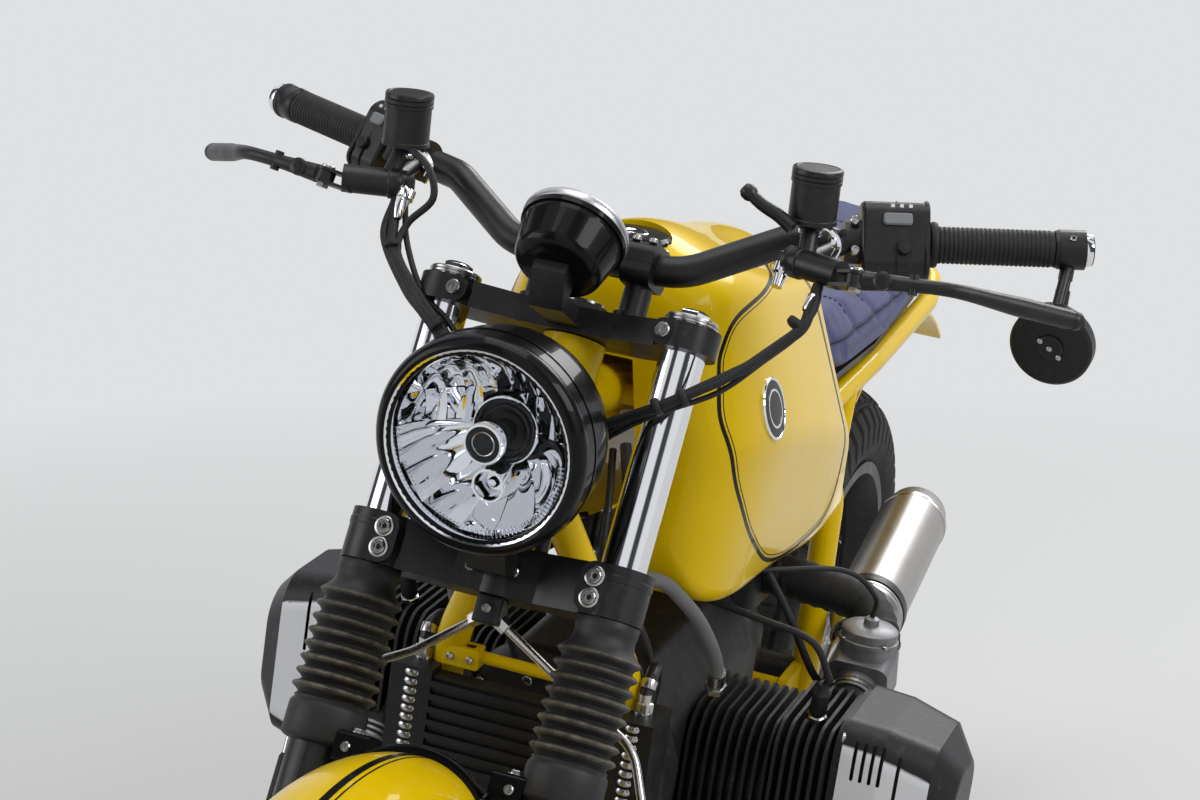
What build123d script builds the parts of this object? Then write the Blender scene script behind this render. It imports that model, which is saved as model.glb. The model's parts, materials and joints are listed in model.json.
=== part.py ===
from build123d import *
import os
from math import cos, radians, sin, sqrt

# A scrambler-style motorcycle with an air-cooled flat-twin engine, in millimetres.
# It is modelled upright in the bike frame: +X forward, +Y to the rider's left, +Z up,
# with the rear axle at X 0 and the ground at Z 0. It is placed leaning on its side stand.

# Overall layout
wheelbase = 1510
head_height = 970        # top yoke's upper face above the ground, on the steering axis
rake = 26.8              # degrees from the vertical
axle_offset = 65         # front axle ahead of the steering axis
front_radius = 320
front_tyre_width = 104
rear_radius = 320
rear_tyre_width = 130
lean_angle = 8.6         # degrees to the left on the side stand
steer_angle = -4.5       # degrees, to the right of straight ahead as parked

# Fits and clearances
running_gap = 0.05       # radial, shaft in bearing
seat_gap = 0.3           # between curved pieces that seat on each other

# Front fork, in the fork's own frame: origin on the steering axis at the top yoke's upper face,
# +X forward and square to the axis, +Z up the axis
leg_spacing = 230
leg_offset = 34.5
stanchion_radius = 20.5
slider_radius = 27
slider_top = -425
gaiter_radius = 39
gaiter_root = 31.5
gaiter_pleats = 8
yoke_boss_radius = 29
top_yoke_thickness = 24
lower_yoke_top = -222
lower_yoke_thickness = 46
gaiter_top = lower_yoke_top - lower_yoke_thickness - seat_gap
stem_radius = 15
head_tube_radius = 29
bearing_gap = 1.2        # between the head tube's ends and the yokes
fork_axle_radius = 10
front_disc_radius = 142
front_disc_spacing = 130
front_disc_thickness = 5

# Headlight: centre of the glass in the fork's frame, and the lamp axis below the fork's +X
lamp_x = 149
lamp_z = -161
lamp_pitch = 29.2
lamp_glass_radius = 84
lamp_rim_radius = 98
lamp_shell_radius = 94
lamp_shell_depth = 90
lamp_wall = 2.5

# Handlebar
bar_radius = 14.3
bar_end_radius = 11.1
bar_clamp_z = 54
bar_end = (-112.5, 413, 175.5)
bar_sweep = 19.7         # degrees, grips swept back
bar_rise = 13.8          # degrees, grips rising outwards in the fork's frame
riser_spacing = 92
grip_radius = 16
grip_start = 36          # distances along the grip from the bar's end
grip_end = 147
thread_radius = 4
thread_depth = 25

# Speedometer, in the fork's frame
dial_base = (94, 0, 14)
dial_tilt = 26
dial_depth = 56
dial_radius = 49
dial_base_radius = 39.5

# Engine
crank_x = 806
crank_height = 463
cylinder_stagger = 20    # left cylinder ahead of, right cylinder behind the crank's middle
case_half_width = 104
case_length = 300
cover_depth = 58
barrel_start = case_half_width + seat_gap    # distances from the middle plane
head_start = 196
rocker_start = 264
fin_count = 9
# Rocker cover's sections: distance beyond its joint, width, height, corner radius
rocker_sections = ((0, 156, 204, 30), (40, 156, 200, 32), (90, 144, 178, 36), (114, 100, 124, 38))
# Slots in its machined faces: distance beyond its joint, middle above the crank, length
cover_slots = ((14, 68, 40), (23, 68, 40), (32, 68, 40), (41, 68, 40), (58, 52, 68),
               (12, -46, 44), (21, -46, 44), (30, -46, 44), (39, -46, 44))
slot_floor = 70          # slots' floor from the cylinder's axis

# Frame tubes
cradle_radius = 16
cradle_half_width = 127
cradle_bottom = 215
backbone_radius = 24
subframe_radius = 13

# Tank: sections along X, with heights from the backbone's line. Columns x, bottom, top,
# half width low, half width at the knee, knee's height, half width at the shoulder
tank_sections = (
    (505, -108, 149, 143, 146, -21, 76),
    (560, -120, 178, 145, 150, -20, 92),
    (700, -150, 182, 146, 156, -16, 104),
    (880, -173, 177, 144, 157, -17, 108),
    (1000, -185, 149, 128, 138, -29, 90),
    (1034, -141, 77, 84, 92, -33, 62),
)
tank_shoulder_drop = 42
tank_tail = 506          # X of the tank's lower rear corner
tank_tail_lean = 23.2    # degrees that its rear end leans forward
tunnel_roof = 34         # tunnel's roof above the backbone's line
tunnel_foot = -260
tunnel_roof_half_width = 32
tunnel_foot_half_width = 88
cap_x = 972
cap_height = 19
cap_proud = 5            # cap's top above the tank's
cap_radius = 34

rear_fork_pivot = (470, 0, 430)
final_drive_radius = 82
seat_base = 772          # height of the seat's lower edge at its front
rear_fender_radius = 470
rear_fender_crown = seat_base - 22
shock_low = Vector(150, -147, 386)
shock_high = Vector(281, -147, seat_base - 36)
shock_pin = 6

# Side stand
stand_pivot = (640, 162, 232)
stand_foot_x = 700
stand_foot_y = 348

# Derived layout
sine_rake = sin(radians(rake))
cosine_rake = cos(radians(rake))
sine_lean = sin(radians(lean_angle))
cosine_lean = cos(radians(lean_angle))
front_crown = front_tyre_width / 2
rear_crown = rear_tyre_width / 2


def lowest_point(axle_x, axle_y, axle_z, radius, crown):
    # lowest point of a leaning tyre, whose tread is an arc of the crown's radius
    steering = radians(axle_y)
    side = cos(steering) * -sine_lean - sin(steering) * sine_rake * cosine_lean
    centre = axle_z * cosine_lean - axle_x * sine_lean
    return centre - (radius - crown) * sqrt(1 - side * side) - crown


straight_drop = (head_height - front_radius + axle_offset * sine_rake) / cosine_rake
swing_side = axle_offset * sin(radians(steer_angle))
swing_back = axle_offset * (1 - cos(radians(steer_angle)))
front_low = lowest_point(swing_side, steer_angle, front_radius - swing_back * sine_rake, front_radius, front_crown)
rear_low = lowest_point(0, 0, rear_radius, rear_radius, rear_crown)
parked_trim = (front_low - rear_low) / cosine_lean / cosine_rake
fork_drop = straight_drop + parked_trim
head_x = wheelbase - straight_drop * sine_rake - axle_offset * cosine_rake
head_top = Vector(head_x, 0, head_height)
axis_up = Vector(-sine_rake, 0, cosine_rake)
axis_front = Vector(cosine_rake, 0, sine_rake)


def fork_point(x, y, z):
    # a point of the straight fork's frame, in the bike frame
    return head_top + axis_front * x + axis_up * z + Vector(0, y, 0)


# Backbone's line: X and height of its corners
spine_front = (head_x - 69, head_height - 86)
spine_middle = (700, 806)
spine_rear = (425, 736)


def spine_height(x):
    near, far = (spine_middle, spine_front) if x > spine_middle[0] else (spine_rear, spine_middle)
    return near[1] + (x - near[0]) * (far[1] - near[1]) / (far[0] - near[0])


def tube(points, radii, radius, mode=Mode.ADD):
    # a round tube of straight runs joined by tangent arcs
    with BuildLine() as route:
        FilletPolyline(*points, radius=radii)
    with BuildSketch(Plane(origin=route.line @ 0, z_dir=route.line % 0)) as ring:
        Circle(radius)
    sweep(sections=ring.sketch, path=route.line, mode=mode)


# Where each frame stands in the leaning machine
lean = Location((0, 0, -rear_low), (-lean_angle, 0, 0))
fork_straight = Location(Plane(origin=head_top, x_dir=axis_front, z_dir=axis_up))
fork = lean * fork_straight * Location((0, 0, 0), (0, 0, steer_angle))
lamp_axis = Vector(cos(radians(lamp_pitch)), 0, -sin(radians(lamp_pitch)))
lamp = fork * Location(Plane(origin=(lamp_x, 0, lamp_z), x_dir=(0, 1, 0), z_dir=lamp_axis))
dial_axis = Vector(-sin(radians(dial_tilt)), 0, cos(radians(dial_tilt)))
dial = fork * Location(Plane(origin=dial_base, x_dir=(0, 1, 0), z_dir=dial_axis))
print("rear_low", rear_low, "front_low", front_low, "trim", parked_trim)
print("head_x", head_x, "fork_drop", fork_drop)

pieces = []


def finish(name, piece, frame):
    piece.part.label = name
    pieces.append((name, piece, frame))


def rod(start, finish_point, radius, mode=Mode.ADD):
    # straight round bar between two points
    with BuildSketch(Plane(origin=start, z_dir=finish_point - start)) as ring:
        Circle(radius)
    extrude(ring.sketch, amount=(finish_point - start).length, mode=mode)


def to_side(point, side):
    return Vector(point.X, side * point.Y, point.Z)


def cradle_tube(side, radius, mode=Mode.ADD):
    # one side's loop from the steering head, under the engine and up to the backbone's end
    wide = side * cradle_half_width
    points = [
        fork_point(0, side * 6, -150), (1092, side * 84, 640), (1050, side * 114, 430),
        (1024, wide, cradle_bottom), (510, wide, cradle_bottom), (462, side * 125, 430),
        (446, side * 117, 640), (432, side * 88, spine_rear[1] - 14), (420, 0, spine_rear[1] - 2)]
    tube(points, [110, 120, 70, 80, 120, 70, 60], radius, mode)


# Side stand's layout: foot on the floor, leg, and the axis that folds it back under the footrest
foot_z = stand_foot_y * sine_lean / cosine_lean + rear_low / cosine_lean
foot = Vector(stand_foot_x, stand_foot_y, foot_z)
ground_up = Vector(0, -sine_lean, cosine_lean)
pivot = Vector(*stand_pivot)
leg = foot + ground_up * 16 - pivot
leg_direction = leg.normalized()
folded = Vector(-0.985, 0.06, -0.02)
stand_axis = leg.cross(folded).normalized()
stand_fold = leg.get_angle(folded)
eye_radius = 16
pin_radius = 6

# Tunnel under the tank, straight along the backbone's line
tunnel_front = Vector(spine_front[0], 0, spine_front[1])
tunnel_line = (Vector(tank_tail, 0, spine_height(tank_tail)) - tunnel_front).normalized()
tank_mount_radius = 10


def tunnel_half_width(x, z):
    # half the tunnel's width at a point of the middle plane
    above = (Vector(x, 0, z) - tunnel_front).dot(Vector(tunnel_line.Z, 0, -tunnel_line.X))
    share = (tunnel_roof - above) / (tunnel_roof - tunnel_foot)
    return tunnel_roof_half_width + share * (tunnel_foot_half_width - tunnel_roof_half_width)


# Main frame: steering head, backbone, twin cradle tubes and their cross tubes
head_low = lower_yoke_top + bearing_gap
head_high = -top_yoke_thickness - bearing_gap
with BuildPart() as main_frame:
    with BuildSketch(Plane(origin=fork_point(0, 0, head_low), x_dir=axis_front, z_dir=axis_up)):
        Circle(head_tube_radius)
    extrude(amount=head_high - head_low)
    corners = [(x, 0, z) for x, z in (spine_front, spine_middle, spine_rear)]
    tube([fork_point(0, 0, -70), *corners], [60, 200], backbone_radius)
    tube([fork_point(0, 0, -190), (head_x - 19, 0, head_height - 155), (960, 0, spine_height(960))], [60],
         cradle_radius)
    for side in (1, -1):
        cradle_tube(side, cradle_radius)
    for x in (940, 600):
        with BuildSketch(Plane.XZ.offset(-cradle_half_width)):
            with Locations((x, cradle_bottom)):
                Circle(cradle_radius - 3)
        extrude(amount=2 * cradle_half_width)
    # clevis and pin that carry the side stand
    for face, depth in ((-32, 22.5), (9.5, 5.5)):
        with BuildSketch(Plane(origin=pivot + stand_axis * face, z_dir=stand_axis)):
            Circle(eye_radius)
        extrude(amount=depth)
    rod(pivot - stand_axis * 17, pivot + stand_axis * 17, pin_radius)
    # tank mounts across the backbone, out to the tunnel's walls
    for x in (1010, 610):
        reach = tunnel_half_width(x, spine_height(x) + tank_mount_radius) - seat_gap
        with BuildSketch(Plane.XZ.offset(-reach)):
            with Locations((x, spine_height(x))):
                Circle(tank_mount_radius)
        extrude(amount=2 * reach)
    # bar between the down tubes that carries the oil cooler
    rod(Vector(1094, -80, 618), Vector(1094, 80, 618), 6)
    # engine mounts: from the down tubes to the front cover, from the uprights to the gearbox
    for side in (1, -1):
        with BuildSketch(Plane.XZ.offset(-side * 121.2 - 6.9)):
            with Locations((1018, 430)):
                RectangleRounded(66, 24, 8)
        extrude(amount=13.8)
        with BuildSketch(Plane.XZ.offset(-side * 118 - 5.7)):
            with Locations((498, 440)):
                SlotOverall(92, 28)
        extrude(amount=11.4)
        with BuildSketch(Plane(origin=(530, side * (80 + seat_gap), 440), x_dir=(1, 0, 0), z_dir=(0, side, 0))):
            Circle(12)
        extrude(amount=36)
    with BuildSketch(Plane(origin=fork_point(0, 0, head_low - 1), x_dir=axis_front, z_dir=axis_up)):
        Circle(stem_radius + running_gap)
    extrude(amount=head_high - head_low + 2, mode=Mode.SUBTRACT)
finish("main_frame", main_frame, lean)

# Rear subframe: seat rails, their rear loop and the stays
with BuildPart() as rear_subframe:
    for side in (1, -1):
        tube([(405, side * 90, seat_base - 34), (250, side * 100, seat_base - 17.8), (-20, side * 100, seat_base - 1),
              (-105, side * 86, seat_base + 18), (-130, 0, seat_base + 22)], [150, 90, 60], subframe_radius)
        tube([(430.5, side * 112, 510), (402, side * 104, 630), (352, side * 97, seat_base - 30)], [120],
             subframe_radius - 2)
    with BuildSketch(Plane.XZ.offset(-100)):
        with Locations((330, seat_base - 26), (0, rear_fender_crown + 7 + seat_gap)):
            Circle(7)
    extrude(amount=200)
    # pin for the shock absorber's upper eye
    with BuildSketch(Plane.XZ.offset(96)):
        with Locations((shock_high.X, shock_high.Z)):
            Circle(shock_pin)
    extrude(amount=-shock_high.Y + 16 - 96)
finish("rear_subframe", rear_subframe, lean)

# Tank: a saddle over the backbone
tank_top_radius = 90
crown_drop = 6.5         # the rounded top lies this far under the section's apex
cap_seat = Plane.XY.offset(spine_height(cap_x) + 155 - crown_drop + cap_proud - cap_height - seat_gap)
cap_seat = cap_seat.shift_origin((cap_x, 0, cap_seat.origin.Z))
tail_end = Plane(origin=(tank_tail, 0, spine_height(tank_tail) - 108), x_dir=(0, 1, 0),
                 z_dir=(-cos(radians(tank_tail_lean)), 0, sin(radians(tank_tail_lean))))
with BuildPart() as fuel_tank:
    for x, low, top, hem, knee, knee_height, shoulder in tank_sections:
        line = spine_height(x)
        low, top, knee_height = line + low, line + top, line + knee_height
        shoulder_height = top - tank_shoulder_drop
        outline = [(hem, low), (knee, knee_height), (shoulder, shoulder_height), (0, top)]
        outline += [(-y, z) for y, z in reversed(outline[:3])]
        with BuildSketch(Plane(origin=(x, 0, 0), x_dir=(0, 1, 0), z_dir=(1, 0, 0))):
            with BuildLine():
                FilletPolyline(*outline, radius=[16, 70, 42, tank_top_radius, 42, 70, 16], close=True)
            make_face()
    loft()
    with BuildSketch(tail_end):
        Rectangle(400, 900)
    extrude(amount=200, mode=Mode.SUBTRACT)
    fillet(fuel_tank.faces().sort_by(Axis(tail_end.origin, tail_end.z_dir))[-1].edges(), 6)
    with BuildSketch(Plane(origin=tunnel_front - tunnel_line * 60, x_dir=(0, -1, 0), z_dir=tunnel_line)):
        with BuildLine():
            Polyline((tunnel_roof_half_width, tunnel_roof), (tunnel_foot_half_width, tunnel_foot),
                     (-tunnel_foot_half_width, tunnel_foot), (-tunnel_roof_half_width, tunnel_roof), close=True)
        make_face()
    extrude(amount=700, mode=Mode.SUBTRACT)
    with BuildSketch(cap_seat):
        Circle(cap_radius + seat_gap)
    extrude(amount=60, mode=Mode.SUBTRACT)
finish("fuel_tank", fuel_tank, lean)

with BuildPart() as tank_cap:
    with BuildSketch(Plane.XZ):
        with BuildLine():
            Polyline((0, 0), (cap_radius, 0), (cap_radius, cap_height - 3), (30, cap_height), (0, cap_height),
                     close=True)
        make_face()
    revolve(axis=Axis.Z)
finish("tank_cap", tank_cap, lean * Location(cap_seat.offset(seat_gap)))

# Engine: case, front cover, oil pan and gearbox
case_rear = crank_x - case_length / 2
case_front = crank_x + case_length / 2
with BuildPart() as crankcase:
    with BuildSketch(Plane.YZ.offset(case_rear)):
        with BuildLine():
            FilletPolyline((case_half_width, crank_height - 70), (case_half_width, crank_height + 70),
                           (62, crank_height + 128), (-62, crank_height + 128),
                           (-case_half_width, crank_height + 70), (-case_half_width, crank_height - 70),
                           (-92, crank_height - 148), (92, crank_height - 148), radius=18, close=True)
        make_face()
    extrude(amount=case_length)
finish("crankcase", crankcase, lean)

with BuildPart() as front_engine_cover:
    with BuildSketch(Plane.YZ.offset(case_front)):
        with BuildLine():
            FilletPolyline((108, crank_height - 128), (118, crank_height + 40), (84, crank_height + 124),
                           (-84, crank_height + 124), (-118, crank_height + 40), (-108, crank_height - 128),
                           radius=[26, 40, 46, 46, 40, 26], close=True)
        make_face()
    extrude(amount=cover_depth)
    fillet(front_engine_cover.faces().sort_by(Axis.X)[-1].edges(), 9)
    with BuildSketch(Plane.YZ.offset(case_front + cover_depth)):
        with GridLocations(17, 0, 9, 1):
            with Locations((0, crank_height + 6)):
                SlotOverall(170, 7, rotation=90)
    extrude(amount=-9, mode=Mode.SUBTRACT)
finish("front_engine_cover", front_engine_cover, lean)

with BuildPart() as oil_pan:
    with BuildSketch(Plane.XY.offset(crank_height - 148)):
        with Locations((crank_x - 6, 0)):
            RectangleRounded(case_length - 24, 176, 20)
    extrude(amount=-42)
    with BuildSketch(Plane.XY.offset(crank_height - 190)):
        with Locations((crank_x - 6, 0)):
            RectangleRounded(case_length - 52, 150, 20)
    extrude(amount=-62)
    with BuildSketch(Plane.XY.offset(crank_height - 252)):
        with GridLocations(0, 22, 1, 6):
            with Locations((crank_x - 6, 0)):
                Rectangle(case_length - 80, 7)
    extrude(amount=12, mode=Mode.SUBTRACT)
finish("oil_pan", oil_pan, lean)

gearbox_height = 236
gearbox_top = crank_height + 98
with BuildPart() as gearbox:
    with BuildSketch(Plane.YZ.offset(case_rear)):
        with Locations((0, gearbox_top - gearbox_height / 2)):
            RectangleRounded(192, gearbox_height, 60)
    extrude(amount=-60)
    with BuildSketch(Plane.YZ.offset(case_rear - 60)):
        with Locations((0, crank_height - 34)):
            RectangleRounded(160, 200, 40)
    extrude(amount=-88)
finish("gearbox", gearbox, lean)

# Cylinders, heads and rocker covers on both sides
with BuildPart() as cylinders:
    for side in (1, -1):
        centre_x = crank_x + side * cylinder_stagger
        barrel = Plane(origin=(centre_x, 0, crank_height), x_dir=(1, 0, 0), z_dir=(0, side, 0))
        with BuildSketch(barrel.offset(barrel_start)):
            Circle(58)
        extrude(amount=head_start - barrel_start)
        pitch = (head_start - barrel_start) / fin_count
        for index in range(fin_count):
            with BuildSketch(barrel.offset(barrel_start + 4 + index * pitch)):
                RectangleRounded(154, 158, 34)
            extrude(amount=3)
finish("cylinders", cylinders, lean)

with BuildPart() as cylinder_heads:
    for side in (1, -1):
        centre_x = crank_x + side * cylinder_stagger
        head = Plane(origin=(centre_x, 0, crank_height), x_dir=(1, 0, 0), z_dir=(0, side, 0))
        with BuildSketch(head.offset(head_start)):
            RectangleRounded(112, 128, 20)
        extrude(amount=rocker_start - head_start)
        for index in range(6):
            with BuildSketch(head.offset(head_start + 2 + index * 10)):
                RectangleRounded(168, 176, 30)
            extrude(amount=3.5)
        with BuildSketch(head.offset(rocker_start)):
            RectangleRounded(152, 196, 34)
        extrude(amount=-8)
        # intake stub to the rear and up, exhaust stub down and to the front
        with BuildSketch(Plane(origin=(centre_x - 50, side * 232, crank_height + 40), x_dir=(0, 1, 0),
                               z_dir=(-0.92, 0, 0.39))):
            Circle(22)
        extrude(amount=52)
        with BuildSketch(Plane(origin=(centre_x + 46, side * 232, crank_height - 34), x_dir=(0, 1, 0),
                               z_dir=(0.84, 0, -0.54))):
            Circle(27)
        extrude(amount=62)
finish("cylinder_heads", cylinder_heads, lean)

with BuildPart() as rocker_covers:
    for side in (1, -1):
        centre_x = crank_x + side * cylinder_stagger
        cover = Plane(origin=(centre_x, 0, crank_height), x_dir=(1, 0, 0), z_dir=(0, side, 0))
        for out, wide, high, corner in rocker_sections:
            with BuildSketch(cover.offset(rocker_start + out)):
                RectangleRounded(wide, high, corner)
        loft(ruled=True)
    fillet(rocker_covers.faces().sort_by(Axis.Y)[-1].edges(), 7)
    fillet(rocker_covers.faces().sort_by(Axis.Y)[0].edges(), 7)
    for side in (1, -1):
        for face in (1, -1):
            floor = Plane(origin=(crank_x + side * cylinder_stagger + face * slot_floor, 0, crank_height),
                          x_dir=(0, 1, 0), z_dir=(1, 0, 0))
            with BuildSketch(floor):
                for out, height, length in cover_slots:
                    with Locations((side * (rocker_start + out), height)):
                        SlotOverall(length, 3.6, rotation=90)
            extrude(amount=face * 16, mode=Mode.SUBTRACT)
finish("rocker_covers", rocker_covers, lean)

# Carburettors and the airbox behind the cylinders
with BuildPart() as carburettors:
    for side in (1, -1):
        centre_x = crank_x + side * cylinder_stagger
        start = Vector(centre_x - 50, side * 232, crank_height + 40) + Vector(-0.92, 0, 0.39) * 52.3
        throat = Plane(origin=start, x_dir=(0, 1, 0), z_dir=(-0.92, 0, 0.39))
        with BuildSketch(throat):
            Circle(25)
        extrude(amount=84)
        with BuildSketch(throat.offset(20)):
            RectangleRounded(64, 66, 12)
        extrude(amount=44)
        bowl = start + Vector(-0.92, 0, 0.39) * 42
        with BuildSketch(Plane.XY.offset(bowl.Z - 66)):
            with Locations((bowl.X, bowl.Y)):
                RectangleRounded(52, 56, 12)
        extrude(amount=62)
        with BuildSketch(Plane.XY.offset(bowl.Z + 6)):
            with Locations((bowl.X, bowl.Y)):
                Circle(29)
        extrude(amount=46)
finish("carburettors", carburettors, lean)

with BuildPart() as airbox:
    with BuildSketch(Plane.XY.offset(gearbox_top + seat_gap)):
        with Locations((580, 0)):
            RectangleRounded(140, 190, 30)
    extrude(amount=58, taper=6)
finish("airbox", airbox, lean)

# Exhaust: one pipe from each head, joined under the gearbox and led up to the left-hand silencer
muffler_rear = Vector(135, 161, 548)
muffler_front = Vector(486, 178, 500)
muffler_radius = 41
muffler_entry = muffler_front + (muffler_front - muffler_rear).normalized() * 50
with BuildPart() as exhaust_pipes:
    for side in (1, -1):
        centre_x = crank_x + side * cylinder_stagger
        port = Vector(centre_x + 46, side * 232, crank_height - 34) + Vector(0.84, 0, -0.54) * 62.3
        corner = port + Vector(0.84, 0, -0.54) * 62
        if side > 0:
            route = [port, corner, (912, 226, 262), (800, 196, 242), (590, 176, 290), muffler_entry,
                     muffler_front]
            tube(route, [44, 60, 160, 80, 40], 19)
        else:
            route = [port, corner, (878, -226, 262), (800, -200, 240), (600, -160, 262), (540, -60, 262),
                     (556, 160, 292)]
            tube(route, [44, 60, 150, 60, 60], 19)
finish("exhaust_pipes", exhaust_pipes, lean)

muffler_line = muffler_rear - muffler_front
with BuildPart() as muffler:
    with BuildSketch(Plane.XZ):
        with BuildLine():
            FilletPolyline((21, 0), (26, 4), (muffler_radius - 2, 52), (muffler_radius, 60),
                           (muffler_radius, muffler_line.length - 26), (36, muffler_line.length),
                           radius=[4, 12, 6, 8])
            Line((36, muffler_line.length), (24, muffler_line.length))
            Line((24, muffler_line.length), (24, muffler_line.length - 60))
            Line((24, muffler_line.length - 60), (0, muffler_line.length - 60))
            Line((0, muffler_line.length - 60), (0, 0))
            Line((0, 0), (21, 0))
        make_face()
    revolve(axis=Axis.Z)
muffler_frame = Location(Plane(origin=muffler_front + muffler_line.normalized() * seat_gap,
                               x_dir=(0, 1, 0), z_dir=muffler_line))
finish("muffler", muffler, lean * muffler_frame)

# Seat and its pan
seat_sections = (
    # x, then above the seat's base: bottom, top; half width low, half width at the bulge, bulge above the base
    (540, 33, 84, 80, 98, 55),
    (420, 4, 76, 98, 120, 37),
    (250, 4, 68, 102, 126, 38),
    (40, 22, 80, 98, 118, 52),
    (-112, 44, 90, 80, 94, 68),
)
with BuildPart() as seat:
    for x, low, top, hem, bulge, bulge_height in seat_sections:
        outline = [(hem, seat_base + low), (bulge, seat_base + bulge_height), (bulge - 34, seat_base + top)]
        outline += [(-y, z) for y, z in reversed(outline)]
        with BuildSketch(Plane(origin=(x, 0, 0), x_dir=(0, 1, 0), z_dir=(1, 0, 0))):
            with BuildLine():
                FilletPolyline(*outline, radius=[8, 18, 26, 26, 18, 8], close=True)
            make_face()
    loft(ruled=True)
finish("seat", seat, lean)

with BuildPart() as seat_pan:
    for x, low, top, hem, bulge, bulge_height in seat_sections:
        with BuildSketch(Plane(origin=(x, 0, 0), x_dir=(0, 1, 0), z_dir=(1, 0, 0))):
            with Locations((0, seat_base + low - 4.5)):
                Rectangle(2 * hem - 8, 8)
    loft(ruled=True)
finish("seat_pan", seat_pan, lean)

# Rear fender under the seat, with the tail light
with BuildPart() as rear_fender:
    with BuildSketch(Plane.XZ.offset(-82)):
        with BuildLine():
            fender_middle = rear_fender_crown - rear_fender_radius
            outer = CenterArc((0, fender_middle), rear_fender_radius, 62, 62)
            inner = CenterArc((0, fender_middle), rear_fender_radius - 4, 62, 62)
            Line(outer @ 0, inner @ 0)
            Line(outer @ 1, inner @ 1)
        make_face()
    extrude(amount=164)
finish("rear_fender", rear_fender, lean)

with BuildPart() as tail_light:
    with BuildSketch(Plane.YZ.offset(-130 - subframe_radius - seat_gap)):
        with Locations((0, seat_base + 28)):
            RectangleRounded(96, 34, 14)
    extrude(amount=-24)
    fillet(tail_light.faces().sort_by(Axis.X)[0].edges(), 6)
finish("tail_light", tail_light, lean)

# Single-sided swingarm with the drive shaft in its right-hand arm
pivot_x, pivot_y, pivot_z = rear_fork_pivot
arm_centre = -108
with BuildPart() as swingarm:
    with BuildSketch(Plane.XZ.offset(-112)):
        with Locations((pivot_x, pivot_z)):
            Circle(27)
    extrude(amount=224)
    for x, z, wide, high in ((pivot_x, pivot_z, 40, 54), (260, 384, 44, 66), (86, 338, 48, 74)):
        with BuildSketch(Plane(origin=(x, arm_centre, z), x_dir=(0, 1, 0), z_dir=(1, 0, 0))):
            RectangleRounded(wide, high, 16)
    loft()
    for side in (1, -1):
        cradle_tube(side, cradle_radius + seat_gap, Mode.SUBTRACT)
    # pin for the shock absorber's lower eye
    with BuildSketch(Plane.XZ.offset(-arm_centre)):
        with Locations((shock_low.X, shock_low.Z)):
            Circle(shock_pin)
    extrude(amount=-shock_low.Y + 16 + arm_centre)
finish("swingarm", swingarm, lean)

with BuildPart() as final_drive:
    with BuildSketch(Plane.XZ.offset(132)):
        with Locations((0, rear_radius)):
            Circle(final_drive_radius)
    extrude(amount=-56)
    fillet(final_drive.faces().sort_by(Axis.Y)[0].edges(), 14)
    with BuildSketch(Plane.XZ.offset(78)):
        with Locations((0, rear_radius)):
            Circle(42)
    extrude(amount=-22)
    with BuildSketch(Plane.XZ.offset(140)):
        with Locations((0, rear_radius)):
            Circle(20 + running_gap)
    extrude(amount=-90, mode=Mode.SUBTRACT)
    with BuildSketch(Plane.YZ.offset(70)):
        with Locations((arm_centre, rear_radius + 16)):
            RectangleRounded(44, 70, 14)
    extrude(amount=15.7)
finish("final_drive", final_drive, lean)

shock_line = shock_high - shock_low
shock_length = shock_line.length
with BuildPart() as rear_shock:
    with BuildSketch(Plane.XZ):
        with BuildLine():
            steps = [(0, 0), (10, 0), (10, 40)]
            coil_pitch = (shock_length - 106) / 8
            for turn in range(8):
                steps += [(33, 44 + turn * coil_pitch), (33, 52 + turn * coil_pitch), (22, 56 + turn * coil_pitch)]
            steps += [(22, shock_length - 54), (10, shock_length - 50), (10, shock_length), (0, shock_length)]
            Polyline(*steps, close=True)
        make_face()
    revolve(axis=Axis.Z)
    with BuildSketch(Plane.YZ.offset(-12)):
        with Locations((0, 0), (0, shock_length)):
            Circle(15)
    extrude(amount=24)
    with BuildSketch(Plane.YZ.offset(-12)):
        with Locations((0, 0), (0, shock_length)):
            Circle(shock_pin + seat_gap)
    extrude(amount=24, mode=Mode.SUBTRACT)
shock_frame = Location(Plane(origin=shock_low, x_dir=(0, 1, 0), z_dir=shock_line))
finish("rear_shock", rear_shock, lean * shock_frame)

# Footrests on plates behind the cradle's uprights, gear lever and brake pedal
rest_x = 484
rest_z = 318
with BuildPart() as footrests:
    for side in (1, -1):
        outward = Plane(origin=(0, side * 146, 0), x_dir=(-side, 0, 0), z_dir=(0, side, 0))
        with BuildSketch(outward):
            with Locations((-side * rest_x, rest_z)):
                Circle(12)
        extrude(amount=104)
        with BuildSketch(outward.offset(14)):
            with Locations((-side * rest_x, rest_z)):
                RectangleRounded(30, 26, 8)
        extrude(amount=86)
        with BuildSketch(outward):
            with Locations((-side * rest_x, rest_z)):
                RectangleRounded(66, 66, 12)
        extrude(amount=-10)
        cradle_tube(side, cradle_radius + seat_gap, Mode.SUBTRACT)
finish("footrests", footrests, lean)

lever_shaft = (626, crank_height - 70)
with BuildPart() as foot_levers:
    for side in (1, -1):
        outward = Plane(origin=(0, side * (96 + seat_gap), 0), x_dir=(-side, 0, 0), z_dir=(0, side, 0))
        shaft_x, shaft_z = lever_shaft
        with BuildSketch(outward):
            with Locations((-side * shaft_x, shaft_z)):
                Circle(8)
        extrude(amount=62)
        arm_y = side * 153
        tube([(shaft_x, arm_y, shaft_z), (shaft_x + 50, arm_y, shaft_z - 48), (shaft_x + 96, arm_y, shaft_z - 68)],
             [50], 6)
        with BuildSketch(outward.offset(51)):
            with Locations((-side * (shaft_x + 96), shaft_z - 68)):
                Circle(9)
        extrude(amount=66)
finish("foot_levers", foot_levers, lean)

# Rear wheel, with the drive stub that runs in the final drive
spoke_count = 36


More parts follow.
